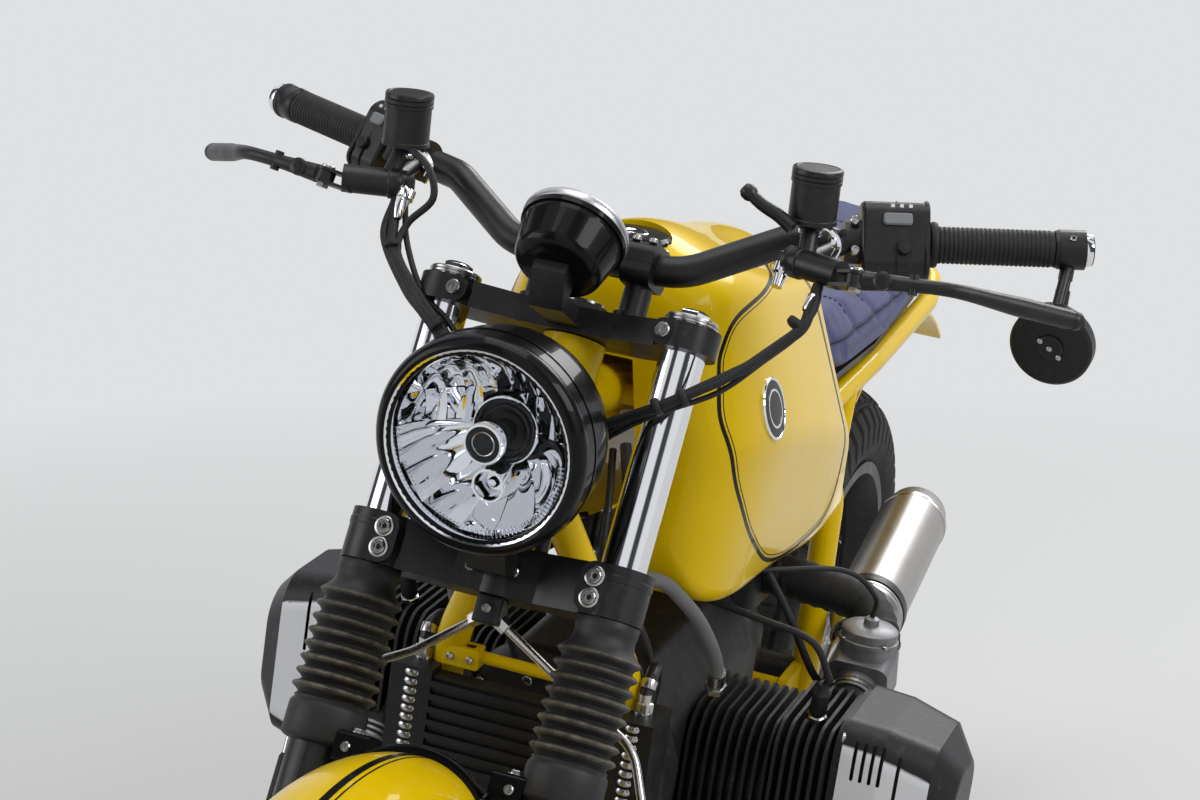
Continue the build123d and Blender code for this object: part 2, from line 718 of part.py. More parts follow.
def draw_tyre(radius, crown, bead, bead_half):
    # crown arc on the tread, then a straight sidewall down to the bead
    edge = radians(68)
    tread_y = crown * sin(edge)
    tread_r = radius - crown + crown * cos(edge)
    inner_half = bead_half - seat_gap
    with BuildSketch(Plane.XZ) as section:
        with BuildLine():
            ThreePointArc((tread_r, -tread_y), (radius, 0), (tread_r, tread_y))
            Polyline((tread_r, tread_y), (bead + 34, crown * 0.96), (bead + 11, inner_half), (bead, inner_half),
                     (bead, -inner_half), (bead + 11, -inner_half), (bead + 34, -crown * 0.96),
                     (tread_r, -tread_y))
        make_face()
    revolve(section.sketch, axis=Axis.Z)


def draw_wheel(bead, bead_half, hub_radius, hub_half, bore):
    # hub and rim joined by laced wire spokes
    well = bead - 18
    with BuildSketch(Plane.XZ) as section:
        with BuildLine():
            Polyline((bead - seat_gap, -bead_half), (bead - seat_gap, bead_half), (bead + 10, bead_half),
                     (bead + 10, bead_half + 4), (bead - 5, bead_half + 4), (well, 16), (well, -16),
                     (bead - 5, -bead_half - 4), (bead + 10, -bead_half - 4), (bead + 10, -bead_half),
                     close=True)
        make_face()
        with BuildLine():
            Polyline((bore, -hub_half), (hub_radius, -hub_half), (hub_radius, -hub_half + 6),
                     (hub_radius - 14, -hub_half + 14), (hub_radius - 14, hub_half - 14),
                     (hub_radius, hub_half - 6), (hub_radius, hub_half), (bore, hub_half), close=True)
        make_face()
    revolve(section.sketch, axis=Axis.Z)
    for index in range(spoke_count):
        turn = index * 360 / spoke_count
        skew = 34 if index % 4 < 2 else -34
        level = (hub_half - 4) * (1 if index % 2 else -1)
        inner = Vector(hub_radius - 5, 0, 0).rotate(Axis.Z, turn + skew) + Vector(0, 0, level)
        outer = Vector(well + 4, 0, 0).rotate(Axis.Z, turn) + Vector(0, 0, level * 0.2)
        with BuildSketch(Plane(origin=inner, z_dir=outer - inner)) as ring:
            Circle(2)
        extrude(ring.sketch, amount=(outer - inner).length)


rear_bead = 218
with BuildPart() as rear_wheel:
    draw_wheel(rear_bead, 52, 62, 46, 8)
    with BuildSketch(Plane.XY.offset(46)):
        Circle(38)
    extrude(amount=9.7)
    with BuildSketch(Plane.XY.offset(46)):
        Circle(20)
    extrude(amount=88)
wheel_right = Location(Plane(origin=(0, 0, rear_radius), x_dir=(1, 0, 0), z_dir=(0, -1, 0)))
finish("rear_wheel", rear_wheel, lean * wheel_right)

with BuildPart() as rear_tyre:
    draw_tyre(rear_radius, rear_crown, rear_bead, 52)
finish("rear_tyre", rear_tyre, lean * wheel_right)

# Front wheel, its discs and its axle
front_bead = 230
front_axle_place = Location(Plane(origin=(axle_offset, 0, -fork_drop), x_dir=(1, 0, 0), z_dir=(0, -1, 0)))
with BuildPart() as front_wheel:
    draw_wheel(front_bead, 36, 52, 44, fork_axle_radius + running_gap)
    with BuildSketch(Plane.XY.offset(44)):
        Circle(36)
        Circle(fork_axle_radius + running_gap, mode=Mode.SUBTRACT)
    extrude(amount=front_disc_spacing / 2 - front_disc_thickness / 2 - 44)
    with BuildSketch(Plane.XY.offset(-44)):
        Circle(36)
        Circle(fork_axle_radius + running_gap, mode=Mode.SUBTRACT)
    extrude(amount=-(front_disc_spacing / 2 - front_disc_thickness / 2 - 44))
finish("front_wheel", front_wheel, fork * front_axle_place)

with BuildPart() as front_tyre:
    draw_tyre(front_radius, front_crown, front_bead, 36)
finish("front_tyre", front_tyre, fork * front_axle_place)

with BuildPart() as front_discs:
    for side in (1, -1):
        face = side * front_disc_spacing / 2 - front_disc_thickness / 2
        with BuildSketch(Plane.XY.offset(face)):
            Circle(front_disc_radius)
            Circle(30, mode=Mode.SUBTRACT)
            with PolarLocations(76, 6):
                SlotOverall(60, 26, rotation=0, mode=Mode.SUBTRACT)
            with PolarLocations(124, 24):
                Circle(4, mode=Mode.SUBTRACT)
        extrude(amount=front_disc_thickness)
finish("front_discs", front_discs, fork * front_axle_place)

leg_y = leg_spacing / 2
slider_foot_half = 22
axle_reach = leg_y + slider_foot_half + seat_gap
with BuildPart() as front_axle:
    with BuildSketch(Plane.XY.offset(-axle_reach)):
        Circle(fork_axle_radius)
    extrude(amount=2 * axle_reach)
    for side in (1, -1):
        with BuildSketch(Plane.XY.offset(side * axle_reach)):
            RegularPolygon(15, 6)
        extrude(amount=side * 8)
finish("front_axle", front_axle, fork * front_axle_place)

# Fork: stanchions, gaiters and sliders
with BuildPart() as fork_tubes:
    for side in (1, -1):
        with BuildSketch(Plane.XY.offset(slider_top - 60)):
            with Locations((leg_offset, side * leg_spacing / 2)):
                Circle(stanchion_radius)
        extrude(amount=60 - slider_top + 2)
        with BuildSketch(Plane.XY.offset(2)):
            with Locations((leg_offset, side * leg_spacing / 2)):
                Circle(stanchion_radius + 2.5)
        extrude(amount=6)
        with BuildSketch(Plane.XY.offset(8)):
            with Locations((leg_offset, side * leg_spacing / 2)):
                RegularPolygon(13, 6)
        extrude(amount=6)
finish("fork_tubes", fork_tubes, fork)

with BuildPart() as fork_gaiters:
    for side in (1, -1):
        place = Plane(origin=(leg_offset, side * leg_spacing / 2, 0), x_dir=(1, 0, 0), z_dir=(0, 1, 0))
        with BuildSketch(Plane(origin=(leg_offset, side * leg_spacing / 2, 0), x_dir=(1, 0, 0), z_dir=(0, -1, 0))):
            with BuildLine():
                cuff_low = slider_top - 10
                pleat_low = slider_top + 26
                pleat_high = gaiter_top - 12
                pitch = (pleat_high - pleat_low) / gaiter_pleats
                points = [(stanchion_radius + seat_gap, gaiter_top), (27, gaiter_top), (27, pleat_high)]
                for index in range(gaiter_pleats):
                    tip = pleat_high - (index + 0.5) * pitch
                    points += [(gaiter_radius, tip), (gaiter_root, tip - pitch / 2)]
                points += [(slider_radius + 4, pleat_low - 4), (slider_radius + 4, cuff_low),
                           (slider_radius + seat_gap, cuff_low), (slider_radius + seat_gap, pleat_high - 14),
                           (stanchion_radius + seat_gap, pleat_high - 4)]
                Polyline(*points, close=True)
            make_face()
        revolve(axis=Axis(place.origin, (0, 0, 1)))
finish("fork_gaiters", fork_gaiters, fork)

with BuildPart() as fork_sliders:
    for side in (1, -1):
        with BuildSketch(Plane.XY.offset(-fork_drop + 8)):
            with Locations((leg_offset, side * leg_y)):
                Circle(slider_radius)
        extrude(amount=slider_top + fork_drop - 8)
        with BuildSketch(Plane.XZ.offset(-side * leg_y - slider_foot_half)):
            with Locations((axle_offset, -fork_drop)):
                Circle(24)
            with Locations((leg_offset + 2, -fork_drop + 60)):
                Circle(20)
            make_hull()
        extrude(amount=2 * slider_foot_half)
        with BuildSketch(Plane.XY.offset(slider_top - 62)):
            with Locations((leg_offset, side * leg_y)):
                Circle(stanchion_radius + running_gap)
        extrude(amount=70, mode=Mode.SUBTRACT)
    with BuildSketch(Plane.XZ.offset(-axle_reach - 1)):
        with Locations((axle_offset, -fork_drop)):
            Circle(fork_axle_radius + running_gap)
    extrude(amount=2 * axle_reach + 2, mode=Mode.SUBTRACT)
finish("fork_sliders", fork_sliders, fork)

# Yokes and stem
lug_inset = 14           # pinch bolts inboard of the legs
lug_front = 63
with BuildPart() as top_yoke:
    with BuildSketch(Plane.XY.offset(-top_yoke_thickness)) as plate:
        with Locations((0, 0)):
            Circle(34)
        with Locations((leg_offset, leg_spacing / 2), (leg_offset, -leg_spacing / 2)):
            Circle(yoke_boss_radius)
        with BuildLine():
            Polyline((-24, -60), (-6, -leg_spacing / 2), (52, -leg_spacing / 2 + 16), (34, -44), (34, 44),
                     (52, leg_spacing / 2 - 16), (-6, leg_spacing / 2), (-24, 60), close=True)
        make_face()
    extrude(amount=top_yoke_thickness)
    # round lugs in front of the legs, for the pinch bolts
    with BuildSketch(Plane.YZ.offset(leg_offset)):
        with Locations((leg_y - lug_inset, -top_yoke_thickness / 2), (lug_inset - leg_y, -top_yoke_thickness / 2)):
            Circle(top_yoke_thickness / 2)
    extrude(amount=lug_front - leg_offset)
    with BuildSketch(Plane.XY.offset(-top_yoke_thickness - 1)):
        with Locations((leg_offset, leg_spacing / 2), (leg_offset, -leg_spacing / 2)):
            Circle(stanchion_radius + running_gap)
        Circle(stem_radius)
    extrude(amount=top_yoke_thickness + 2, mode=Mode.SUBTRACT)
finish("top_yoke", top_yoke, fork)

lower_low = lower_yoke_top - lower_yoke_thickness
with BuildPart() as lower_yoke:
    with BuildSketch(Plane.XY.offset(lower_low)):
        with Locations((0, 0)):
            Circle(32)
        with Locations((leg_offset, leg_spacing / 2), (leg_offset, -leg_spacing / 2)):
            Circle(yoke_boss_radius)
        with BuildLine():
            Polyline((-20, -56), (0, -leg_spacing / 2), (50, -leg_spacing / 2 + 16), (30, -40), (30, 40),
                     (50, leg_spacing / 2 - 16), (0, leg_spacing / 2), (-20, 56), close=True)
        make_face()
    extrude(amount=lower_yoke_thickness)
    with BuildSketch(Plane.YZ.offset(leg_offset)):
        middle = lower_low + lower_yoke_thickness / 2
        with Locations((leg_y - lug_inset, middle), (lug_inset - leg_y, middle)):
            SlotOverall(lower_yoke_thickness, 28, rotation=90)
    extrude(amount=lug_front - leg_offset)
    with BuildSketch(Plane.XY.offset(lower_low - 1)):
        with Locations((leg_offset, leg_spacing / 2), (leg_offset, -leg_spacing / 2)):
            Circle(stanchion_radius + running_gap)
    extrude(amount=lower_yoke_thickness + 2, mode=Mode.SUBTRACT)
    # stem through the steering head, with its nut above the top yoke
    with BuildSketch(Plane.XY.offset(lower_low)):
        Circle(stem_radius)
    extrude(amount=-lower_low + 1)
    with BuildSketch(Plane.XY.offset(0.3)):
        RegularPolygon(21, 6)
    extrude(amount=10)
finish("lower_yoke", lower_yoke, fork)


# Front fender and its bracket on the sliders
fender_radius = front_radius + 18
fender_start = 42        # degrees above the fork's +X
fender_arc = 128
with BuildPart() as front_fender:
    with BuildSketch(Plane.XZ) as fender_section:
        with BuildLine():
            ThreePointArc((fender_radius - 34, -66), (fender_radius, 0), (fender_radius - 34, 66))
            Line((fender_radius - 34, 66), (fender_radius - 37, 64))
            ThreePointArc((fender_radius - 37, 64), (fender_radius - 3, 0), (fender_radius - 37, -64))
            Line((fender_radius - 37, -64), (fender_radius - 34, -66))
        make_face()
    revolve(fender_section.sketch, axis=Axis.Z, revolution_arc=fender_arc)
fender_turn = Location((0, 0, 0), (0, 0, fender_start))
finish("front_fender", front_fender, fork * front_axle_place * fender_turn)

# an arched band over the fender, with an ear on each slider
band_angle = 87          # degrees above the fork's +X where the band starts
band_arc = 6
with BuildPart() as fender_band:
    with BuildSketch(Plane.XZ) as band_section:
        with BuildLine():
            ThreePointArc((fender_radius - 22.4, -62), (fender_radius + 4.3, 0), (fender_radius - 22.4, 62))
            Line((fender_radius - 22.4, 62), (fender_radius - 26.1, 60))
            ThreePointArc((fender_radius - 26.1, 60), (fender_radius + 0.3, 0), (fender_radius - 26.1, -60))
            Line((fender_radius - 26.1, -60), (fender_radius - 22.4, -62))
        make_face()
    revolve(band_section.sketch, axis=Axis.Z, revolution_arc=band_arc)
fender_band.part.locate(front_axle_place * Location((0, 0, 0), (0, 0, band_angle)))

ear_top = -fork_drop + fender_radius + 6
ear_in = 59
ear_out = leg_y - slider_radius + 2
with BuildPart() as fender_bracket:
    add(fender_band.part)
    for side in (1, -1):
        with BuildSketch(Plane.XZ.offset(-side * (ear_in + ear_out) / 2 - (ear_out - ear_in) / 2)):
            with Locations((46, ear_top - 14.5)):
                RectangleRounded(32, 29, 5)
        extrude(amount=ear_out - ear_in)
    for side in (1, -1):
        with BuildSketch(Plane.XY.offset(ear_top - 60)):
            with Locations((leg_offset, side * leg_y)):
                Circle(slider_radius + seat_gap)
        extrude(amount=90, mode=Mode.SUBTRACT)
        with BuildSketch(Plane.XY.offset(slider_top - 10 - seat_gap)):
            with Locations((leg_offset, side * leg_y)):
                Circle(slider_radius + 4 + seat_gap)
        extrude(amount=100, mode=Mode.SUBTRACT)
finish("fender_bracket", fender_bracket, fork)

# Calipers on the sliders, around the discs
with BuildPart() as brake_calipers:
    for side in (1, -1):
        middle = side * front_disc_spacing / 2
        caliper_x = leg_offset - 64
        with BuildSketch(Plane.XZ.offset(-side * (front_disc_spacing / 2 + 5) - 25)):
            with Locations((caliper_x, -fork_drop + 96)):
                RectangleRounded(62, 112, 18)
        extrude(amount=50)
        with BuildSketch(Plane.XZ.offset(-middle - 6)):
            with Locations((axle_offset, -fork_drop)):
                Circle(front_disc_radius + 5)
        extrude(amount=12, mode=Mode.SUBTRACT)
        lug_in = front_disc_spacing / 2 + 28.5
        lug_out = leg_y + 9.5
        with BuildSketch(Plane.XZ.offset(-side * lug_in)):
            with Locations((leg_offset - 36, -fork_drop + 100)):
                Rectangle(34, 84)
        extrude(amount=-side * (lug_out - lug_in))
        with BuildSketch(Plane.XY.offset(-fork_drop)):
            with Locations((leg_offset, side * leg_spacing / 2)):
                Circle(slider_radius + seat_gap)
        extrude(amount=200, mode=Mode.SUBTRACT)
finish("brake_calipers", brake_calipers, fork)

# Headlight
with BuildPart() as headlight_shell:
    with BuildSketch(Plane.XZ):
        with BuildLine():
            Line((lamp_shell_radius, -18), (lamp_shell_radius, -54))
            ThreePointArc((lamp_shell_radius, -54), (83, -79), (54, -lamp_shell_depth))
            Line((54, -lamp_shell_depth), (0, -lamp_shell_depth))
            Line((0, -lamp_shell_depth), (0, -lamp_shell_depth + lamp_wall))
            Line((0, -lamp_shell_depth + lamp_wall), (53, -lamp_shell_depth + lamp_wall))
            ThreePointArc((53, -lamp_shell_depth + lamp_wall), (81, -77), (lamp_shell_radius - lamp_wall, -54))
            Line((lamp_shell_radius - lamp_wall, -54), (lamp_shell_radius - lamp_wall, -18))
            Line((lamp_shell_radius - lamp_wall, -18), (lamp_shell_radius, -18))
        make_face()
    revolve(axis=Axis.Z)
finish("headlight_shell", headlight_shell, lamp)

with BuildPart() as headlight_rim:
    with BuildSketch(Plane.XZ):
        with BuildLine():
            Line((lamp_glass_radius - 2, 6), (lamp_glass_radius + 6, 9))
            ThreePointArc((lamp_glass_radius + 6, 9), (lamp_rim_radius - 2, 4), (lamp_rim_radius, -8))
            Line((lamp_rim_radius, -8), (lamp_rim_radius, -26))
            Line((lamp_rim_radius, -26), (lamp_shell_radius + seat_gap, -26))
            Line((lamp_shell_radius + seat_gap, -26), (lamp_shell_radius + seat_gap, -17.7))
            Line((lamp_shell_radius + seat_gap, -17.7), (lamp_glass_radius + 1, -17.7))
            Line((lamp_glass_radius + 1, -17.7), (lamp_glass_radius + 1, 3.7))
            Line((lamp_glass_radius + 1, 3.7), (lamp_glass_radius - 2, 3.7))
            Line((lamp_glass_radius - 2, 3.7), (lamp_glass_radius - 2, 6))
        make_face()
    revolve(axis=Axis.Z)
finish("headlight_rim", headlight_rim, lamp)

with BuildPart() as headlight_glass:
    with BuildSketch(Plane.XZ):
        with BuildLine():
            Polyline((lamp_glass_radius + 0.7, 3.4), (lamp_glass_radius + 0.7, -1), (lamp_glass_radius - 3, -1),
                     (58, 4.1), (28, 7.9), (0, 9), (0, 13), (28, 11.9), (58, 8.1),
                     (lamp_glass_radius - 2.4, 3.4), close=True)
        make_face()
    revolve(axis=Axis.Z)
finish("headlight_glass", headlight_glass, lamp)

with BuildPart() as headlight_reflector:
    with BuildSketch(Plane.XZ):
        with BuildLine():
            Line((lamp_glass_radius + 0.7, -1.3), (lamp_glass_radius + 0.7, -4))
            Line((lamp_glass_radius + 0.7, -4), (lamp_glass_radius - 2, -4))
            ThreePointArc((lamp_glass_radius - 2, -4), (62, -46), (26, -70))
            Line((26, -70), (0, -70))
            Line((0, -70), (0, -68))
            Line((0, -68), (25, -68))
            ThreePointArc((25, -68), (60, -44.5), (lamp_glass_radius - 4, -1.3))
            Line((lamp_glass_radius - 4, -1.3), (lamp_glass_radius + 0.7, -1.3))
        make_face()
    revolve(axis=Axis.Z)
    with BuildSketch(Plane.XY.offset(-68)):
        Circle(17)
    extrude(amount=34)
    with BuildSketch(Plane.XY.offset(-34)):
        Circle(13)
    extrude(amount=-10, mode=Mode.SUBTRACT)
finish("headlight_reflector", headlight_reflector, lamp)

# Brackets on the yokes that carry the headlight and the speedometer
with BuildPart() as yoke_brackets:
    with BuildSketch(Plane.XZ.offset(-19)):
        with BuildLine():
            Polyline((32.3, lower_yoke_top - 30), (32.3, lower_yoke_top - 14), (46, lower_yoke_top),
                     (54, lower_yoke_top + 6), (72, lower_yoke_top - 4.1), (72, lower_yoke_top - 14),
                     (56, lower_yoke_top - 30), close=True)
        make_face()
    extrude(amount=38)
    with BuildSketch(Plane.XZ.offset(-16)):
        with BuildLine():
            Polyline((34.4, -4), (34.4, -20), (92, -20), (108, 10), (106, 19.4), (80, 6.7), (84, -6), close=True)
        make_face()
    extrude(amount=32)
finish("yoke_brackets", yoke_brackets, fork)

# Speedometer in a tapered cup with a bright bezel, on a bracket from the top yoke
with BuildPart() as speedometer:
    with BuildSketch(Plane.XZ):
        with BuildLine():
            FilletPolyline((0, 0), (dial_base_radius, 0), (dial_radius - 2, dial_depth - 20),
                           (dial_radius - 2, dial_depth - 6), (0, dial_depth - 6), radius=[12, 10, 1])
            Line((0, dial_depth - 6), (0, 0))
        make_face()
    revolve(axis=Axis.Z)
    with BuildSketch(Plane.XZ):
        with BuildLine():
            Polyline((dial_radius - 1.7, dial_depth - 15), (dial_radius, dial_depth - 15), (dial_radius, dial_depth - 2),
                     (dial_radius - 3, dial_depth), (dial_radius - 7, dial_depth), (dial_radius - 7, dial_depth - 5.7),
                     (dial_radius - 1.7, dial_depth - 5.7), close=True)
        make_face()
    revolve(axis=Axis.Z)
finish("speedometer", speedometer, dial)

# Handlebar: flat centre, rise, and swept grips
end_x, end_y, end_z = bar_end
grip_in = Vector(sin(radians(bar_sweep)) * cos(radians(bar_rise)),
                 -cos(radians(bar_sweep)) * cos(radians(bar_rise)), -sin(radians(bar_rise)))
bar_tip = Vector(*bar_end)
bar_knee = bar_tip + grip_in * 272
with BuildPart() as handlebar:
    taper_start = bar_tip + grip_in * 240
    tube([(0, 0, bar_clamp_z), (0, 82, bar_clamp_z), bar_knee, taper_start], [60, 44], bar_radius)
    with BuildSketch(Plane(origin=taper_start, z_dir=-grip_in)):
        Circle(bar_radius)
    with BuildSketch(Plane(origin=bar_tip + grip_in * 226, z_dir=-grip_in)):
        Circle(bar_end_radius)
    loft()
    with BuildSketch(Plane(origin=bar_tip + grip_in * 226, z_dir=-grip_in)):
        Circle(bar_end_radius)
    extrude(amount=222)
    # end weight
    with BuildSketch(Plane(origin=bar_tip, z_dir=grip_in)):
        Circle(14)
    extrude(amount=7)
    mirror(about=Plane.XZ)
    # threaded hole in the right-hand end weight
    with BuildSketch(Plane(origin=to_side(bar_tip, -1), z_dir=to_side(grip_in, -1))):
        Circle(thread_radius)
    extrude(amount=thread_depth, mode=Mode.SUBTRACT)
finish("handlebar", handlebar, fork)

with BuildPart() as bar_risers:
    for side in (1, -1):
        riser_y = side * riser_spacing / 2
        with BuildSketch(Plane.XY):
            with Locations((0, riser_y)):
                Circle(13)
        extrude(amount=bar_clamp_z - 8)
        with BuildSketch(Plane.XY):
            with Locations((0, riser_y)):
                Circle(17)
        extrude(amount=8)
        with BuildSketch(Plane.XZ.offset(-riser_y - 14)):
            with Locations((0, bar_clamp_z)):
                RectangleRounded(50, 40, 12)
        extrude(amount=28)
    with BuildSketch(Plane.XZ.offset(-100)):
        with Locations((0, bar_clamp_z)):
            Circle(bar_radius + 0.1)
    extrude(amount=200, mode=Mode.SUBTRACT)
finish("bar_risers", bar_risers, fork)


def grip_plane(side, distance):
    # plane square to the grip, at a distance inwards from the bar's end
    point = bar_tip + grip_in * distance
    return Plane(origin=to_side(point, side), x_dir=(cos(radians(bar_sweep)), side * sin(radians(bar_sweep)), 0),
                 z_dir=to_side(grip_in, side))


with BuildPart() as grips:
    for side in (1, -1):
        with BuildSketch(grip_plane(side, grip_start)):
            Circle(grip_radius)
            Circle(bar_end_radius, mode=Mode.SUBTRACT)
        extrude(amount=grip_end - grip_start)
        with BuildSketch(grip_plane(side, grip_end - 6)):
            Circle(grip_radius + 4)
            Circle(bar_end_radius, mode=Mode.SUBTRACT)
        extrude(amount=6)
finish("grips", grips, fork)

with BuildPart() as switch_housings:
    for side in (1, -1):
        with BuildSketch(grip_plane(side, 150)):
            RectangleRounded(52, 70, 14)
            Circle(bar_end_radius, mode=Mode.SUBTRACT)
        extrude(amount=58 if side > 0 else 34)
finish("switch_housings", switch_housings, fork)

# Master cylinders with their reservoirs, and the hand levers
lever_pivot = Vector(60, 256, 66)
lever_knee = Vector(60, 334, 74)
lever_tip = Vector(-42, 428, 92)
lever_normal = (lever_knee - lever_pivot).cross(lever_tip - lever_pivot).normalized()
cylinder_in = Vector(-0.32, -0.93, 0.16).normalized()
cylinder_start = lever_pivot + cylinder_in * 16
cylinder_length = 58
reservoir_top = Vector(60, 198, 158)
reservoir_axis = Vector(sine_rake, 0, cosine_rake)
reservoir_radius = 21.5
reservoir_height = 48
clamp_place = 208.5
clamp_width = 16.5


with BuildPart() as master_cylinders:
    for side in (1, -1):
        with BuildSketch(grip_plane(side, clamp_place)):
            Circle(20)
        extrude(amount=clamp_width)
        body_start = to_side(cylinder_start, side)
        body_end = to_side(cylinder_start + cylinder_in * cylinder_length, side)
        rod(body_start, body_end, 13)
        ring_middle = grip_plane(side, clamp_place + clamp_width / 2).origin
        rod(ring_middle, to_side(cylinder_start + cylinder_in * 44, side), 8)
        reservoir_bottom = reservoir_top - reservoir_axis * reservoir_height
        rod(to_side(reservoir_bottom, side), to_side(reservoir_top, side), reservoir_radius)
        rod(to_side(cylinder_start + cylinder_in * 40, side), to_side(reservoir_bottom, side), 8)
        # two ears round the lever's eye, and the pin through them
        normal = to_side(lever_normal, side)
        ears = Plane(origin=to_side(lever_pivot, side), x_dir=to_side(cylinder_in, side), z_dir=normal)
        for face in (-7.3, 4.3):
            with BuildSketch(ears.offset(face)):
                with Locations((9, 0)):
                    SlotOverall(38, 20)
            extrude(amount=3)
        with BuildSketch(ears.offset(-7.3)):
            Circle(3)
        extrude(amount=14.6)
        with BuildSketch(grip_plane(side, 180)):
            Circle(bar_end_radius)
        extrude(amount=80, mode=Mode.SUBTRACT)
        with BuildSketch(grip_plane(side, clamp_place + clamp_width)):
            Circle(bar_radius + 0.1)
        extrude(amount=40, mode=Mode.SUBTRACT)
finish("master_cylinders", master_cylinders, fork)

blade_line = lever_knee - lever_pivot
eye = Plane(origin=lever_pivot, x_dir=blade_line, z_dir=lever_normal)
with BuildPart() as hand_levers:
    with BuildSketch(eye.offset(-4)):
        Circle(9)
        with Locations((13, 0)):
            Rectangle(26, 14)
    extrude(amount=8)
    tube([lever_pivot + blade_line.normalized() * 17, lever_knee, lever_tip], [55], 5.5)
    tip_line = (lever_tip - lever_knee).normalized()
    rod(lever_tip - tip_line * 5, lever_tip + tip_line * 5, 8)
    rod(lever_tip - tip_line * 7.5, lever_tip + tip_line * 7.5, 6)
    with BuildSketch(eye.offset(-5)):
        Circle(3 + running_gap)
    extrude(amount=10, mode=Mode.SUBTRACT)
    mirror(about=Plane.XZ)
finish("hand_levers", hand_levers, fork)

# Bar-end mirror under the left grip
mirror_centre = Vector(-112, 399, 84)
mirror_radius = 37
with BuildPart() as bar_end_mirror:
    with BuildSketch(grip_plane(1, 7.3)):
        Circle(18)
        Circle(bar_end_radius, mode=Mode.SUBTRACT)
    extrude(amount=24)
    rod(Vector(-107, 396, 156), mirror_centre + Vector(0.652, 0, 0.758) * 30, 5)
    with BuildSketch(Plane(origin=mirror_centre, z_dir=(0.758, 0, -0.652)).offset(-6)):
        Circle(mirror_radius)
    extrude(amount=12)
finish("bar_end_mirror", bar_end_mirror, fork)

# Hoses from the hand controls, round behind the lamp and down to the lower yoke
with BuildPart() as control_hoses:
    tube([(48, 222, 57.3), (56, 222, 16), (68, leg_y + 71, -30), (76, leg_y + 9, -80), (48, 50, -112),
          (30, 36, -160), (30, 36, lower_yoke_top + seat_gap)], [26, 40, 60, 30, 24], 5)
    tube([(40, -190, 63), (50, -178, 16), (62, -leg_y - 13, -35), (62, 23 - leg_y, -60), (44, -46, -110),
          (30, -36, -160), (30, -36, lower_yoke_top + seat_gap)], [40, 40, 30, 40, 24], 5)
finish("control_hoses", control_hoses, fork)

# Brake pipes from a union under the lower yoke, behind each leg and down to its caliper
union_point = Vector(8, -4, lower_low - 14)
with BuildPart() as brake_hoses:
    with BuildSketch(Plane.XY.offset(lower_low - seat_gap)):
        with Locations((union_point.X, union_point.Y)):
            Rectangle(16, 24)
    extrude(amount=-24)
    for side in (1, -1):
        caliper_y = front_disc_spacing / 2 + 21
        tube([union_point, (-22, side * (leg_y - 37), -330), (-26, side * (leg_y + 33), -366),
              (-28, side * (leg_y + 57), -420), (-30, side * (leg_y + 53), -fork_drop + 230),
              (-32, side * (caliper_y + 2), -fork_drop + 188), (-32, side * caliper_y, -fork_drop + 152 + seat_gap)],
             [60, 50, 60, 50, 22], 4)
finish("brake_hoses", brake_hoses, fork)

# Oil cooler across the front of the cradle
with BuildPart() as oil_cooler:
    with BuildSketch(Plane.YZ.offset(1102)):
        with Locations((0, 553)):
            Rectangle(216, 92)
    extrude(amount=20)
    with BuildSketch(Plane.YZ.offset(1098)):
        with Locations((0, 553)):
            with GridLocations(0, 13, 1, 7):
                Rectangle(216, 6)
    extrude(amount=28)
    for side in (1, -1):
        with BuildSketch(Plane.YZ.offset(1068)):
            with Locations((side * 110, 553)):
                Rectangle(40, 104)
        extrude(amount=58)
        cradle_tube(side, cradle_radius + seat_gap, Mode.SUBTRACT)
finish("oil_cooler", oil_cooler, lean)

# Side stand: leg and foot, its eye on a pin through the frame's lug
with BuildPart() as side_stand:
    with BuildSketch(Plane(origin=pivot - stand_axis * 9, x_dir=leg_direction, z_dir=stand_axis)):
        Circle(eye_radius)
        with Locations((17, 0)):
            Rectangle(34, 20)
    extrude(amount=18)
    rod(pivot + leg_direction * 26, pivot + leg, 11)
    with BuildSketch(Plane(origin=foot, x_dir=(1, 0, 0), z_dir=ground_up)):
        SlotOverall(96, 46)
    extrude(amount=8)
    rod(foot + ground_up * 7, foot + ground_up * 20, 15)
    rod(pivot - stand_axis * 12, pivot + stand_axis * 12, pin_radius + running_gap, Mode.SUBTRACT)
finish("side_stand", side_stand, lean)

# Everything goes to one frame, on the floor and centred on its own box
os.makedirs("parts", exist_ok=True)
for name, piece, frame in pieces:
    piece.part.locate(frame)
boxes = [piece.part.bounding_box() for name, piece, frame in pieces]
low = [min(box.min.X for box in boxes), min(box.min.Y for box in boxes), min(box.min.Z for box in boxes)]
high = [max(box.max.X for box in boxes), max(box.max.Y for box in boxes), max(box.max.Z for box in boxes)]
print("box", low, high)
for (name, piece, frame), box in zip(pieces, boxes):
    least = min(solid.volume for solid in piece.part.solids())
    print(f"{name:22s} {len(piece.part.solids())} {box.min.Z:8.1f} {box.max.Z:8.1f} {least:.0f}", piece.part.is_valid)
centre = Location((-(low[0] + high[0]) / 2, -(low[1] + high[1]) / 2, 0))
for name, piece, frame in pieces:
    piece.part.locate(centre * frame)
    export_step(piece.part, f"parts/{name}.step")
places = (
    ("steering", fork, Vector(0, 0, -100), Vector(0, 0, 1)),
    ("front_wheel", fork, Vector(axle_offset, 0, -fork_drop), Vector(0, 1, 0)),
    ("rear_wheel", lean, Vector(0, 0, rear_radius), Vector(0, 1, 0)),
    ("side_stand", lean, pivot, stand_axis),
    ("bar_end_thread", fork, to_side(bar_tip, -1), to_side(grip_in, -1) * -1),
    ("stand_foot", lean, foot, ground_up * -1),
)
for name, frame, origin, direction in places:
    start = (centre * frame * Location(origin)).position
    ahead = (centre * frame * Location(origin + direction)).position
    print("place", name, [round(v, 5) for v in start], [round(v, 6) for v in ahead - start])
print("stand fold", stand_fold)
